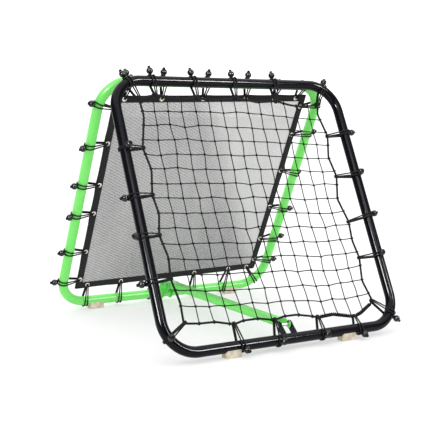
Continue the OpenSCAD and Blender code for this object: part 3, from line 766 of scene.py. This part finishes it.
def tube_fit(far, near):
    """For each tie its direction, its slant across the tube, the cord's radius round the tube and the
    distance to its ball. On a slant, every radius of the tube is divided by the cosine."""
    away, square = unit(near - far), squarely_out(near)
    cosine = (away * square).sum(1)
    slant = (square[:, 0] * away[:, 1] - square[:, 1] * away[:, 0]) / cosine
    solid_wrap = TUBE / 2 / cosine + (STRAND_X + CORD_D / 2) * np.abs(slant) + CORD_D / 2 + WRAP_GAP
    return away, slant, TUBE / 2 / cosine + ELASTIC_R + 0.1, solid_wrap + CORD_D / 2 + BALL_R + FAR_GAP


print("square out of a corner:", squarely_out(np.array([(HALF_W - 20.0, RISE - 20.0)])).round(2))

# %% [markdown]
# Now the half path and its mirror image make one open cord, whose two ends meet
# in the knot. The knot is a larger trefoil, flat on the ball, with two cut tails.
# Each tie has its own place and direction, and the same array maths serves all.

# %% Make the ties of one frame
BALL_KNOT, TAIL, TAIL_R = 3.5, 3.4, 1.7


def tails(tops, axis, across):
    """The two cut ends that stick out of each knot, splayed apart as 1.4 + 0.7 t squared."""
    t = np.linspace(0, 1, 5)[:, None]
    splay = across[:, None] * (1.4 + 0.7 * t**2)
    paths = np.concatenate([tops[:, None] + axis[:, None] * (TAIL * t) + side * splay for side in (1, -1)])
    return cords(paths, TAIL_R, 7, np.cross(np.concatenate([across, across]), (1, 1, 1))[:, None])


def elastic_ties(name, far, near, turn, far_r, slack, stand, body, node):
    """Elastic cords with their knots, for arrays of far ends and tube places in a frame's plane."""
    turn = np.radians(turn)
    away, slant, wrap, ball_up = tube_fit(far, near)
    half, out = half_loop(np.linalg.norm(near - far, axis=1) + slack, turn, far_r, wrap, ball_up)
    path = np.concatenate([half, (half * (1, 1, -1))[:, -2::-1]], 1)
    out = np.concatenate([out, out[:, -2::-1]], 1)
    below_ball = np.linalg.norm(path[..., :2], axis=-1) < ball_up[:, None] - BALL_R
    path[..., 0] -= path[..., 2] * slant[:, None] * (1 + path[..., 0] / 40).clip(0, 1) * below_ball
    e1, middle = (np.concatenate([v, np.zeros((len(far), 1))], 1)[:, None] for v in (away, near))
    e3 = np.cross(e1, Z)
    drawn = middle + path[..., :1] * e1 + path[..., 1:2] * Z + path[..., 2:] * e3
    axis = (np.cos(turn)[:, None, None] * e1 + np.sin(turn)[:, None, None] * Z)[:, 0]
    tops = middle[:, 0] + (ball_up + BALL_R + 1.2)[:, None] * axis
    across = e3[:, 0]
    made = piece(name, stand, joined([
        cords(drawn, ELASTIC_R, 8, out[..., :1] * e1 + out[..., 1:2] * Z),
        knotted(tops, across, np.cross(axis, across), 0.9 * axis, BALL_KNOT, TAIL_R, 24, 7),
        tails(tops, axis, across)]), braided_elastic, body)
    run = lengths(drawn)[:, -1]
    print(f"{len(far)} cords, {run.min():.0f} to {run.max():.0f} mm long, {run.sum() / 1000:.1f} m in all")
    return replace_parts(made, node)


print("each knot has two tails,", 2 * TAIL_R, "mm thick, that stand", TAIL, "mm clear of it")

# %% [markdown]
# ## Where the ties sit
# A tie is given by the place where it holds the rope or eyelet, and the place
# where it goes round the tube. The tube's corners are bends, so a place near a
# corner follows the bend.

# %% Places round the tube
def bent(a):
    """How far the tube's middle has come in, a past the start of a bend: R - sqrt(R^2 - a^2)."""
    a = np.clip(a, 0, BEND)
    return BEND - np.sqrt(BEND**2 - a**2)


def top_bar(x):
    return (x, RISE - bent(abs(x) - (HALF_W - BEND)))


def bottom_bar(x):
    return (x, bent(abs(x) - (HALF_W - BEND)))


def leg(side, y):
    return (side * (HALF_W - bent(max(BEND - y, y - RISE + BEND))), y)


def corner(angle):
    """Place on a corner bend, at an angle from its centre."""
    x, y = math.cos(math.radians(angle)), math.sin(math.radians(angle))
    return (math.copysign(HALF_W - BEND, x) + BEND * x, (RISE - BEND if y > 0 else BEND) + BEND * y)


print("half way round the upper right bend:", [round(float(c), 1) for c in corner(45)])

# %% [markdown]
# The net has four ties on each side and one in each corner. Each row below
# gives the rope's place, the tube's place and the angle by which the ball is
# turned round the tube, because balls roll where the cord lets them. The lists
# are the ones that placed the solid balls.

# %% Tie the net
NET_TOP = ((-254, -257, 10), (-121, -123, 5), (11, 14, 0), (154, 160, 0))
NET_BOTTOM = ((-172, -166, 55), (-40, -45, 70), (104, 103, 75), (232, 235, 45))
NET_LEFT = ((200, 196, -10), (322, 320, 25), (436, 432, 0), (573, 572, 90))
NET_RIGHT = ((209, 212, 105), (323, 338, 0), (470, 472, 95), (604, 612, 0))
ROUND_ROPE, SQUEEZE = 5.1, 0.5


def rope_slack(far, near):
    """How far a loop reaches past the rope, so that it is clear of the rope's two legs: for a leg at
    an angle to the tie, with b its share back along the tie, (cord b + rope/2)/sqrt(1 - b^2) - rope/2."""
    at = np.linalg.norm(route[None] - far[:, None], axis=-1).argmin(1)
    away = unit(near - far)
    needs = []
    for step in (1, -1):
        b = (-(away * unit(route[(at + step) % len(route)] - far)).sum(1)).clip(0)
        needs.append(((STRAND_X + CORD_D / 2) * b + ROPE_D / 2) / np.sqrt(1 - b * b) - ROPE_D / 2)
    return np.maximum(*needs)


net_ties = (
    [(at_top(a), top_bar(b), c) for a, b, c in NET_TOP]
    + [(at_bottom(a), bottom_bar(b), c) for a, b, c in NET_BOTTOM]
    + [(at_left(a), leg(-1, b), c) for a, b, c in NET_LEFT]
    + [(at_right(a), leg(1, b), c) for a, b, c in NET_RIGHT]
    + [(tr, corner(58), 0), (tl, corner(114), 0), (bl, corner(210), 75), (br, corner(320), 0)])
net_far, net_near, net_turn = (np.array(v, float) for v in zip(*net_ties))
net_elastic = elastic_ties(
    "net_elastic_loops", net_far, net_near, net_turn, ROUND_ROPE, SQUEEZE * rope_slack(net_far, net_near),
    on_net_frame, "net_frame", "net_bungee_cords")

# %% [markdown]
# ## The mesh panel's outline
# The panel is a slightly skewed square. Its border, mesh and stitches are all
# found from the four outer corners: a corner is drawn in by the same distance
# along both of its edges. An eyelet sits in the middle of the webbing.

# %% Panel places
PANEL = np.array([(-342, 731), (333, 746), (340, 68), (-340, 53)], float)
WEBBING, TUCK = 22.0, 5.0


def drawn_in(d):
    """The four corners, each moved in by d along both of its edges. d may be an array."""
    ahead, behind = unit(np.roll(PANEL, -1, 0) - PANEL), unit(np.roll(PANEL, 1, 0) - PANEL)
    return PANEL + np.asarray(d, float)[..., None, None] * (ahead + behind)


def panel_place(edge, at):
    """A point in the middle of the webbing: edge 0 top, 1 right, 2 bottom, 3 left, at x or y along it."""
    p, q = PANEL[edge], PANEL[(edge + 1) % 4]
    k = edge % 2
    on_edge = p[1 - k] + (q[1 - k] - p[1 - k]) * (at - p[k]) / (q[k] - p[k])
    level = on_edge + (-1, -1, 1, 1)[edge] * WEBBING / 2
    return (at, level) if k == 0 else (level, at)


print("the mesh's corners:", drawn_in(WEBBING).round(1).tolist())

# %% [markdown]
# The mesh has six ties on each side. They reach less far than the net's,
# because each goes straight through an eyelet. Otherwise they are the same
# cords, made by the same function.

# %% Tie the mesh
ROUND_TAPE, SHORT_OF_EYELET = 4.9, 5.1
MESH_TOP = (
    (-307, -305, -65), (-186, -195, 0), (-46, -48, 0), (105, 97, 0), (212, 212, -95), (295, 308, -118))
MESH_BOTTOM = ((-300, -298, -60), (-182, -178, -60), (-55, -60, -60), (94, 104, -60), (230, 225, -60))
MESH_LEFT = ((88, 86, 0), (195, 199, 15), (336, 334, 25), (436, 438, 15), (577, 571, 25), (690, 703, 20))
MESH_RIGHT = ((108, 103, 0), (195, 198, 0), (326, 318, 0), (467, 458, -25), (603, 608, -10), (705, 713, -35))
mesh_ties = (
    [(panel_place(0, a), top_bar(b), c) for a, b, c in MESH_TOP]
    + [(panel_place(2, a), bottom_bar(b), c) for a, b, c in MESH_BOTTOM]
    + [(panel_place(3, a), leg(-1, b), c) for a, b, c in MESH_LEFT]
    + [(panel_place(1, a), leg(1, b), c) for a, b, c in MESH_RIGHT]
    + [(panel_place(2, 305), corner(310), -60)])
mesh_far, mesh_near, mesh_turn = (np.array(v, float) for v in zip(*mesh_ties))
mesh_elastic = elastic_ties(
    "mesh_elastic_loops", mesh_far, mesh_near, mesh_turn, ROUND_TAPE, -SHORT_OF_EYELET,
    on_mesh_frame, "mesh_frame", "mesh_bungee_cords")

# %% [markdown]
# ## Coated yarn
# The mesh is woven from polyester yarn in a pale PVC coat, and it is matt. Its tone
# is set by place: the upper right part, past a slanting line, is lightest, which
# is a painted light, and the mesh is darkest low in the middle. Slanting bands lie
# over that, as on watered silk, where two sets of threads beat against each other.
# A picture could show all this, but ramps and waves on the object's own places
# stay sharp at any distance.

# %% Dye the yarn
BAND, BAND_SLOPE = 7.6, math.radians(25.5)
LINE_SLOPE, LINE_FROM, LINE_TO = math.radians(31.6), 0.288, 0.368


def coated_yarn():
    """The tone is a sum: height, side and a painted light past a slanting line give the body of it, then come
    bands, drift and a pale top edge.
    """
    mat = bare("pale_pvc_coated_yarn")
    here = add(mat, "TexCoord", out="Object")
    x, height = (add(mat, "SeparateXYZ", {0: here}, out=axis) for axis in "XZ")
    over_line, over_band = (add(mat, "VectorMath", {
        0: here, 1: direction}, out="Value", operation="DOT_PRODUCT") for direction in (
            (math.cos(LINE_SLOPE), 0, math.sin(LINE_SLOPE)), (math.sin(BAND_SLOPE), 0, math.cos(BAND_SLOPE))))
    middle = add(mat, "MapRange", {0: height, 1: 0.11, 2: 0.41, 3: 0.1, 4: 0.4})
    left = add(mat, "Mix", {0: add(mat, "MapRange", {0: x, 1: -0.3, 2: -0.15}), 2: 0.31, 3: middle})
    # Painted light: past a slanting line the upper right part of the mesh is made lighter.
    painted_light_share = add(mat, "MapRange", {0: over_line, 1: LINE_FROM, 2: LINE_TO})
    painted_light_tone = add(mat, "MapRange", {0: height, 1: 0.1, 2: 0.6, 3: 0.8, 4: 0.9})
    body = add(mat, "Mix", {0: painted_light_share, 2: left, 3: painted_light_tone})
    bands = add(mat, "TexWave", {
        "Vector": over_band, "Scale": every(BAND) * WAVE, "Distortion": 0.6, "Detail": 1}, out="Fac")
    depth = add(mat, "MapRange", {0: x, 1: -0.15, 2: 0.15, 3: 0.2, 4: 0.05})
    stretched = add(mat, "Mapping", {"Vector": here, "Scale": (2.5, 1, 0.7)})
    slow = add(mat, "TexNoise", {"Vector": stretched, "Scale": every(170), "Detail": 2})
    extras = (
        add(mat, "Math", {0: add(mat, "MapRange", {0: bands, 3: -1, 4: 1}), 1: depth}, operation="MULTIPLY"),
        add(mat, "MapRange", {0: slow, 1: 0.2, 2: 0.8, 3: -0.1, 4: 0.1}),
        add(mat, "MapRange", {0: height, 1: 0.62, 2: 0.66, 3: 0, 4: 0.16}))
    tone = body
    for extra in extras:
        tone = add(mat, "Math", {0: tone, 1: extra}, operation="ADD")
    grain = add(mat, "TexNoise", {"Vector": here, "Scale": every(0.8), "Detail": 2})
    skin = add(mat, "BsdfPrincipled", {
        "Base Color": add(mat, "Mix", {
            0: tone, 6: colour("#666667"), 7: colour("#cccccb")}, out=2, data_type="RGBA"),
        "Roughness": 0.5, "Specular IOR Level": 0.2, "Sheen Weight": 0.1, "Sheen Roughness": 0.5,
        "Normal": add(mat, "Bump", {"Height": grain, "Distance": 0.00006})})
    add(mat, "OutputMaterial", {"Surface": skin})
    return mat


yarn = coated_yarn()
print("made", yarn.name, "with bands every", BAND, "mm")

# %% [markdown]
# ## The woven mesh
# The mesh lets light and air through. A see-through picture on a plane would
# hold no shape of its own. So the mesh is woven here, thread by thread, with
# real gaps. The upright threads are straight ribbons. The level ones go over
# one and under the next, and each row starts the other way. Threads are 2 mm
# apart across and 2.5 mm down, a little coarser than real ones.

# %% Weave the mesh
WARPS, WEFTS, THREAD_W, LIFT = 324, 266, 1.4, 0.22
inner = drawn_in(WEBBING - TUCK)


def on_panel(s, t):
    """Points of the panel, s of the way across and t of the way down: straight lines between its corners."""
    s, t = (np.broadcast_to(v, np.broadcast(s, t).shape)[..., None] for v in (s, t))
    flat = (1 - t) * ((1 - s) * inner[0] + s * inner[1]) + t * ((1 - s) * inner[3] + s * inner[2])
    return np.concatenate([flat, 0 * s], -1)


def gridded(points, rows, columns):
    """Several open grids of the same size as one lot."""
    flat, faces, _ = many(points, *squares(rows, columns))
    return flat, faces, None, []


both_edges = THREAD_W / 2 * np.array((-1, 1))
s, t = (np.arange(WARPS) + 0.5) / WARPS, (np.arange(WEFTS) + 0.5) / WEFTS
warp = on_panel(s[:, None, None] + both_edges / 650, np.array((0.0, 1.0))[:, None])
crossings = np.concatenate([[0.0], s, [1.0]])
weft = on_panel(crossings[None, :, None], t[:, None, None] + both_edges / 660)
weft[..., 2] = LIFT * ((-1.0) ** (np.arange(WEFTS)[:, None] + np.arange(WARPS + 2)))[..., None]
weave = piece(
    "mesh_weave", on_mesh_frame, joined([gridded(warp, 2, 2), gridded(weft, WARPS + 2, 2)]),
    yarn, "mesh_frame", smooth=False)
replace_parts(weave, "mesh_panel")

# %% [markdown]
# ## Webbing
# The mesh is edged with black polypropylene tape. It has fine ribs across it,
# each a row of small yarns, which give a soft shine in streaks. Two waves on the
# tape's own UV map, one along and one across, make that weave.

# %% Weave the webbing's finish
def tape_webbing():
    mat = bare("black_polypropylene_webbing")
    on_tape = add(mat, "TexCoord", out="UV")
    ribs, yarns = (
        add(mat, "TexWave", {"Vector": on_tape, "Scale": WAVE / size, "Distortion": 0.5}, out="Fac",
            bands_direction=along) for size, along in ((1.2, "Y"), (0.8, "X")))
    height = add(mat, "Math", {0: ribs, 1: yarns}, operation="MULTIPLY")
    # Painted shade: the colour follows the weave's height, so it is darker between the ribs and yarns.
    skin = add(mat, "BsdfPrincipled", {
        "Base Color": add(mat, "Mix", {
            0: height, 6: colour("#0c0c0f"), 7: colour("#1f1f24")}, out=2, data_type="RGBA"),
        "Roughness": 0.68, "Normal": add(mat, "Bump", {"Height": height, "Distance": 0.00025}),
        "Specular IOR Level": 0.25, "Sheen Weight": 0.06, "Sheen Roughness": 0.4})
    add(mat, "OutputMaterial", {"Surface": skin})
    return mat


webbing_tape = tape_webbing()
print("made", webbing_tape.name)

# %% [markdown]
# ## The folded tape
# The tape is folded over the mesh's edge, so its outer edge is a round fold and
# its inner edge has two thin lips. A flat strip with a bevel would miss both. So
# the cross-section is drawn once and carried round the four mitred corners. The
# ties pull the tape out a little at each eyelet.

# %% Fold the webbing
PER_EDGE, TAPE_T, PULL, PULL_W = 120, 1.5, 1.8, 24


def pulled_out(edge, at):
    """How far the tape's outer edge is pulled out: a bump of 1.8 exp(-(distance/24)^2) mm at each eyelet."""
    own = [f for f in mesh_far if math.dist(f, panel_place(edge, f[edge % 2])) < 0.01]
    return sum(PULL * np.exp(-((at - f[edge % 2]) / PULL_W) ** 2) for f in own)


def outward(edge):
    return unit(PANEL[(edge + 1) % 4] - PANEL[edge])[::-1] * (-1, 1)


fold = np.radians(np.linspace(90, 270, 9))
flat_d, lip = [4, 9, 16, WEBBING], WEBBING - 0.8
section_d = np.concatenate([flat_d[::-1], TAPE_T + TAPE_T * np.cos(fold), flat_d, [lip, lip]])
section_z = np.concatenate([
    [0.95, TAPE_T, TAPE_T, TAPE_T], TAPE_T * np.sin(fold), [-TAPE_T, -TAPE_T, -TAPE_T, -0.95, -0.35, 0.35]])
mitres = drawn_in(section_d)
share = np.linspace(0, 1, PER_EDGE, endpoint=False)[:, None, None]
tape = []
for edge in range(4):
    line = mitres[:, edge] + share * (mitres[:, (edge + 1) % 4] - mitres[:, edge])
    pull = pulled_out(edge, line[:, 0, edge % 2])[:, None] * (1 - section_d / WEBBING).clip(0, 1)
    tape.append(line + pull[..., None] * outward(edge))
tape = np.concatenate(tape)
tape = np.concatenate([tape, np.broadcast_to(section_z[:, None], (*tape.shape[:2], 1))], -1)
tape_faces, tape_corners = squares(len(tape), len(section_d), True, True)
run = lengths(np.concatenate([tape[:, :1], tape[:1, :1]]).transpose(1, 0, 2))[0]
girth = np.concatenate([[0], np.cumsum(np.hypot(np.diff(section_d), np.diff(section_z)))])
girth = np.append(girth, girth[-1] + 1)
tape_uv = np.stack([girth[tape_corners[..., 1]], run[tape_corners[..., 0]]], -1)
webbing = piece(
    "mesh_webbing_folded", on_mesh_frame, (tape.reshape(-1, 3), tape_faces, tape_uv, []),
    webbing_tape, "mesh_frame")
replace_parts(webbing, "mesh_border_webbing")
print("the tape is", round(float(run[-1])), "mm round")

# %% [markdown]
# ## Eyelet holes
# Each eyelet is set in a punched hole. Round holes don't fit a grid of squares,
# so they are cut with a Boolean modifier, by one cutter that holds a rod for
# each hole. The result is then kept as plain mesh, and the cutter goes.

# %% Punch the holes
HOLE_R = 5.2
t = 2 * np.pi * np.arange(24) / 24
rods = np.zeros((len(mesh_far), 2, 24, 3))
rods[..., :2] = mesh_far[:, None, None] + HOLE_R * np.stack([np.cos(t), np.sin(t)], -1)
rods[..., 2] = np.array((-4.0, 4.0))[:, None]
rod_points, rod_faces, _ = many(rods, *squares(2, 24, False, True))
cutter_mesh = bpy.data.meshes.new("hole_cutter")
cutter_mesh.from_pydata(
    on_mesh_frame(rod_points).tolist(), [],
    rod_faces.tolist() + [cap.tolist() for cap in tube_caps(len(mesh_far), 2, 24)])
cutter = bpy.data.objects.new("hole_cutter", cutter_mesh)
bpy.context.collection.objects.link(cutter)
for solid in (webbing, cutter):
    bpy.context.view_layer.objects.active = solid
    bpy.ops.object.mode_set(mode="EDIT")
    bpy.ops.mesh.select_all(action="SELECT")
    bpy.ops.mesh.normals_make_consistent(inside=False)
    bpy.ops.object.mode_set(mode="OBJECT")
cut = webbing.modifiers.new("holes", "BOOLEAN")
cut.operation, cut.object, cut.solver = "DIFFERENCE", cutter, "EXACT"
bpy.context.view_layer.update()
holed = bpy.data.meshes.new_from_object(webbing.evaluated_get(bpy.context.evaluated_depsgraph_get()))
webbing.modifiers.clear()
webbing.data = holed
bpy.data.objects.remove(cutter)
print("webbing after punching:", len(holed.polygons), "faces")

# %% [markdown]
# ## Eyelets
# Each eyelet is pressed from thin nickel-plated brass: a barrel through the
# tape, and a flange rolled over on each face. A torus would be too round. So a
# cross-section with a rolled lip is drawn once, mirrored, and spun round. The
# plating is bright and slightly warm, and the press has rubbed it satin. It is
# made only part metal, because the room has little for a full metal to mirror.

# %% Press the eyelets
def nickel_plate():
    mat = bare("nickel_plated_brass")
    here = add(mat, "TexCoord", out="Object")
    cloud = add(mat, "TexNoise", {"Vector": here, "Scale": every(3.3), "Detail": 3})
    rub = add(mat, "TexNoise", {"Vector": here, "Scale": every(1.4), "Detail": 2})
    skin = add(mat, "BsdfPrincipled", {
        "Base Color": add(mat, "Mix", {
            0: cloud, 6: colour("#d8d0bc"), 7: colour("#f2eee2")}, out=2, data_type="RGBA"),
        "Metallic": 0.4, "Roughness": add(mat, "MapRange", {"Value": rub, "To Min": 0.22, "To Max": 0.38})})
    add(mat, "OutputMaterial", {"Surface": skin})
    return mat


lobe = np.radians(np.linspace(180, 0, 9))
rolled_lip = np.stack([5.9 + 1.5 * np.cos(lobe), 1.6 + 1.3 * np.sin(lobe)], -1)
upper = np.concatenate([[(4.4, 0.0)], rolled_lip, [(7.2, 1.5), (5.15, 1.45), (5.15, 0.6)]])
profile = np.concatenate([upper, (upper * (1, -1))[:0:-1]])
t = 2 * np.pi * np.arange(28)[:, None] / 28
spun = np.stack([np.cos(t) * profile[:, 0], np.sin(t) * profile[:, 0], profile[:, 1] + 0 * t], -1)
centres = np.concatenate([mesh_far, np.zeros((len(mesh_far), 1))], 1)
eyelet_points, eyelet_faces, _ = many(centres[:, None, None] + spun, *squares(28, len(profile), True, True))
grommets = piece(
    "mesh_eyelets", on_mesh_frame, (eyelet_points, eyelet_faces, None, []),
    nickel_plate(), "mesh_frame")
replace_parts(grommets, "mesh_grommets")

# %% [markdown]
# ## Stitches
# Two rows of lockstitch hold the fold shut, one near each edge of the tape. A
# bump could draw them, but real threads catch the light. A stitch is a short fat
# thread that dips into the tape at both ends. Where an eyelet sits, the row is
# broken.

# %% Sew the webbing
ROWS, STITCH, GAP_SHARE, EYELET_CLEAR = (3.6, 19.2), 4.4, 0.38, 8.2
bonded_thread = cord_finish("bonded_nylon_thread", "#101013", "#34343a", 2, 6, 0.0001)


def stitches(face):
    """Short threads along both rows, on one face of the tape: z = face (1.4 + 0.3 sin(pi t))."""
    paths = []
    z = face * (1.4 + 0.3 * np.sin(np.linspace(0, np.pi, 4)))[:, None]
    for edge in range(4):
        for d in ROWS:
            a, b = drawn_in(d)[[edge, (edge + 1) % 4]]
            count = int(np.linalg.norm(b - a) / STITCH)
            t = (np.arange(count)[:, None] + 0.2 + np.linspace(0, 1 - GAP_SHARE, 4)) / count
            line = a + t[..., None] * (b - a)
            line += (pulled_out(edge, line[..., edge % 2]) * (1 - d / WEBBING))[..., None] * outward(edge)
            paths.append(np.concatenate([line, np.broadcast_to(z, (*line.shape[:2], 1))], -1))
    return np.concatenate(paths)


sewn = np.concatenate([stitches(1), stitches(-1)])
sewn = sewn[np.linalg.norm(sewn[:, None, 1, :2] - mesh_far, axis=-1).min(1) > EYELET_CLEAR]
thread = piece(
    "mesh_stitching", on_mesh_frame, cords(sewn, 0.34, 4, Z), bonded_thread, "mesh_frame")

# %% [markdown]
# ## Floor
# The floor is a plain pale sheet. It glows a little, as a light table does, so
# that the shadows on it stay faint. It is large enough that its far edge is
# never seen.

# %% Lay the floor
floor_sheet = bare("pale_studio_sheet")
add(floor_sheet, "OutputMaterial", {"Surface": add(floor_sheet, "BsdfPrincipled", {
    "Base Color": colour("#c4c4c4"), "Roughness": 0.8, "Specular IOR Level": 0.1,
    "Emission Color": colour("#ffffff"), "Emission Strength": 0.4})})
FLOOR_HALF = 60
floor_mesh = bpy.data.meshes.new("floor")
floor_mesh.from_pydata([
    (x * FLOOR_HALF, y * FLOOR_HALF, 0) for x, y in ((-1, -1), (1, -1), (1, 1), (-1, 1))], [], [(0, 1, 2, 3)])
floor_mesh.materials.append(floor_sheet)
floor = bpy.data.objects.new("floor", floor_mesh)
bpy.context.collection.objects.link(floor)
print("floor is", 2 * FLOOR_HALF, "m across")

# %% [markdown]
# ## Room
# Even light needs white on every side. But a gloss black coat is a dark mirror,
# and with white on every side it would look grey. So the room is made twice.
# Light that is scattered sees plain white. Light that is mirrored sees a room
# that is a function of direction: a white wall behind the rebounder, a white
# ceiling, and a dark wall behind the camera. A Light Path node tells the two
# apart.

# %% Paint the room
WHITE, CEILING, DARK_WALL = 1.45, 1.8, 0.15
room = bpy.data.worlds.new("studio_room")
room.use_nodes = True
room.node_tree.nodes.clear()
direction = add(room, "TexCoord", out="Generated")
x, y, z = (add(room, "SeparateXYZ", {0: direction}, out=axis) for axis in "XYZ")
behind = add(room, "Math", {
    0: add(room, "MapRange", {0: y, 1: -0.1, 2: 0.4}), 1: add(room, "MapRange", {0: x, 1: -0.5, 2: -0.2})},
    operation="MULTIPLY")
walls = add(room, "Mix", {0: behind, 2: DARK_WALL, 3: WHITE})
mirrored = add(room, "Mix", {0: add(room, "MapRange", {0: z, 1: 0.6, 2: 0.72}), 2: walls, 3: CEILING})
strength = add(room, "Mix", {0: add(room, "LightPath", out="Is Glossy Ray"), 2: WHITE, 3: mirrored})
light = add(room, "Background", {"Color": colour("#ffffff"), "Strength": strength})
add(room, "OutputWorld", {"Surface": light})
bpy.context.scene.world = room
bpy.context.scene.view_settings.view_transform = "Standard"
print("room strength:", WHITE, "scattered,", DARK_WALL, "to", CEILING, "mirrored")

# %% [markdown]
# ## Soft boxes
# Each bright line on a tube is the mirror image of a soft box. A tube squeezes
# that image, so a box has to be more than a metre wide to give a line of a few
# millimetres. A near box would move its line from tube to tube, so these stand
# 7 to 9 m off. They only make reflections, and the room gives the even light.

# %% Place the soft boxes
def soft_box(name, azimuth, elevation, distance, size, brightness):
    """Rectangular lamp in a direction: azimuth degrees left of the front, elevation degrees up.
    Its power is pi times its area times how bright it looks."""
    lamp = bpy.data.lights.new(name, "AREA")
    lamp.shape, lamp.size, lamp.size_y = "RECTANGLE", size[0], size[1]
    lamp.energy = math.pi * size[0] * size[1] * brightness
    box = bpy.data.objects.new(name, lamp)
    a, e = math.radians(azimuth), math.radians(elevation)
    away = Vector((-math.sin(a) * math.cos(e), -math.cos(a) * math.cos(e), math.sin(e)))
    box.location = away * distance + Vector((0, 0, 0.3))
    box.rotation_euler = away.to_track_quat("Z", "Y").to_euler()
    box.visible_diffuse = False
    bpy.context.collection.objects.link(box)
    print(name, "at", [round(c, 2) for c in box.location])


soft_box("right_box", -32.6, 25.4, 9, (1.2, 1.5), 104)
soft_box("left_box", 53.5, 23.7, 9, (2.2, 1.2), 112)
soft_box("upper_box", 24, 38.5, 7, (5.2, 1.3), 5.2)
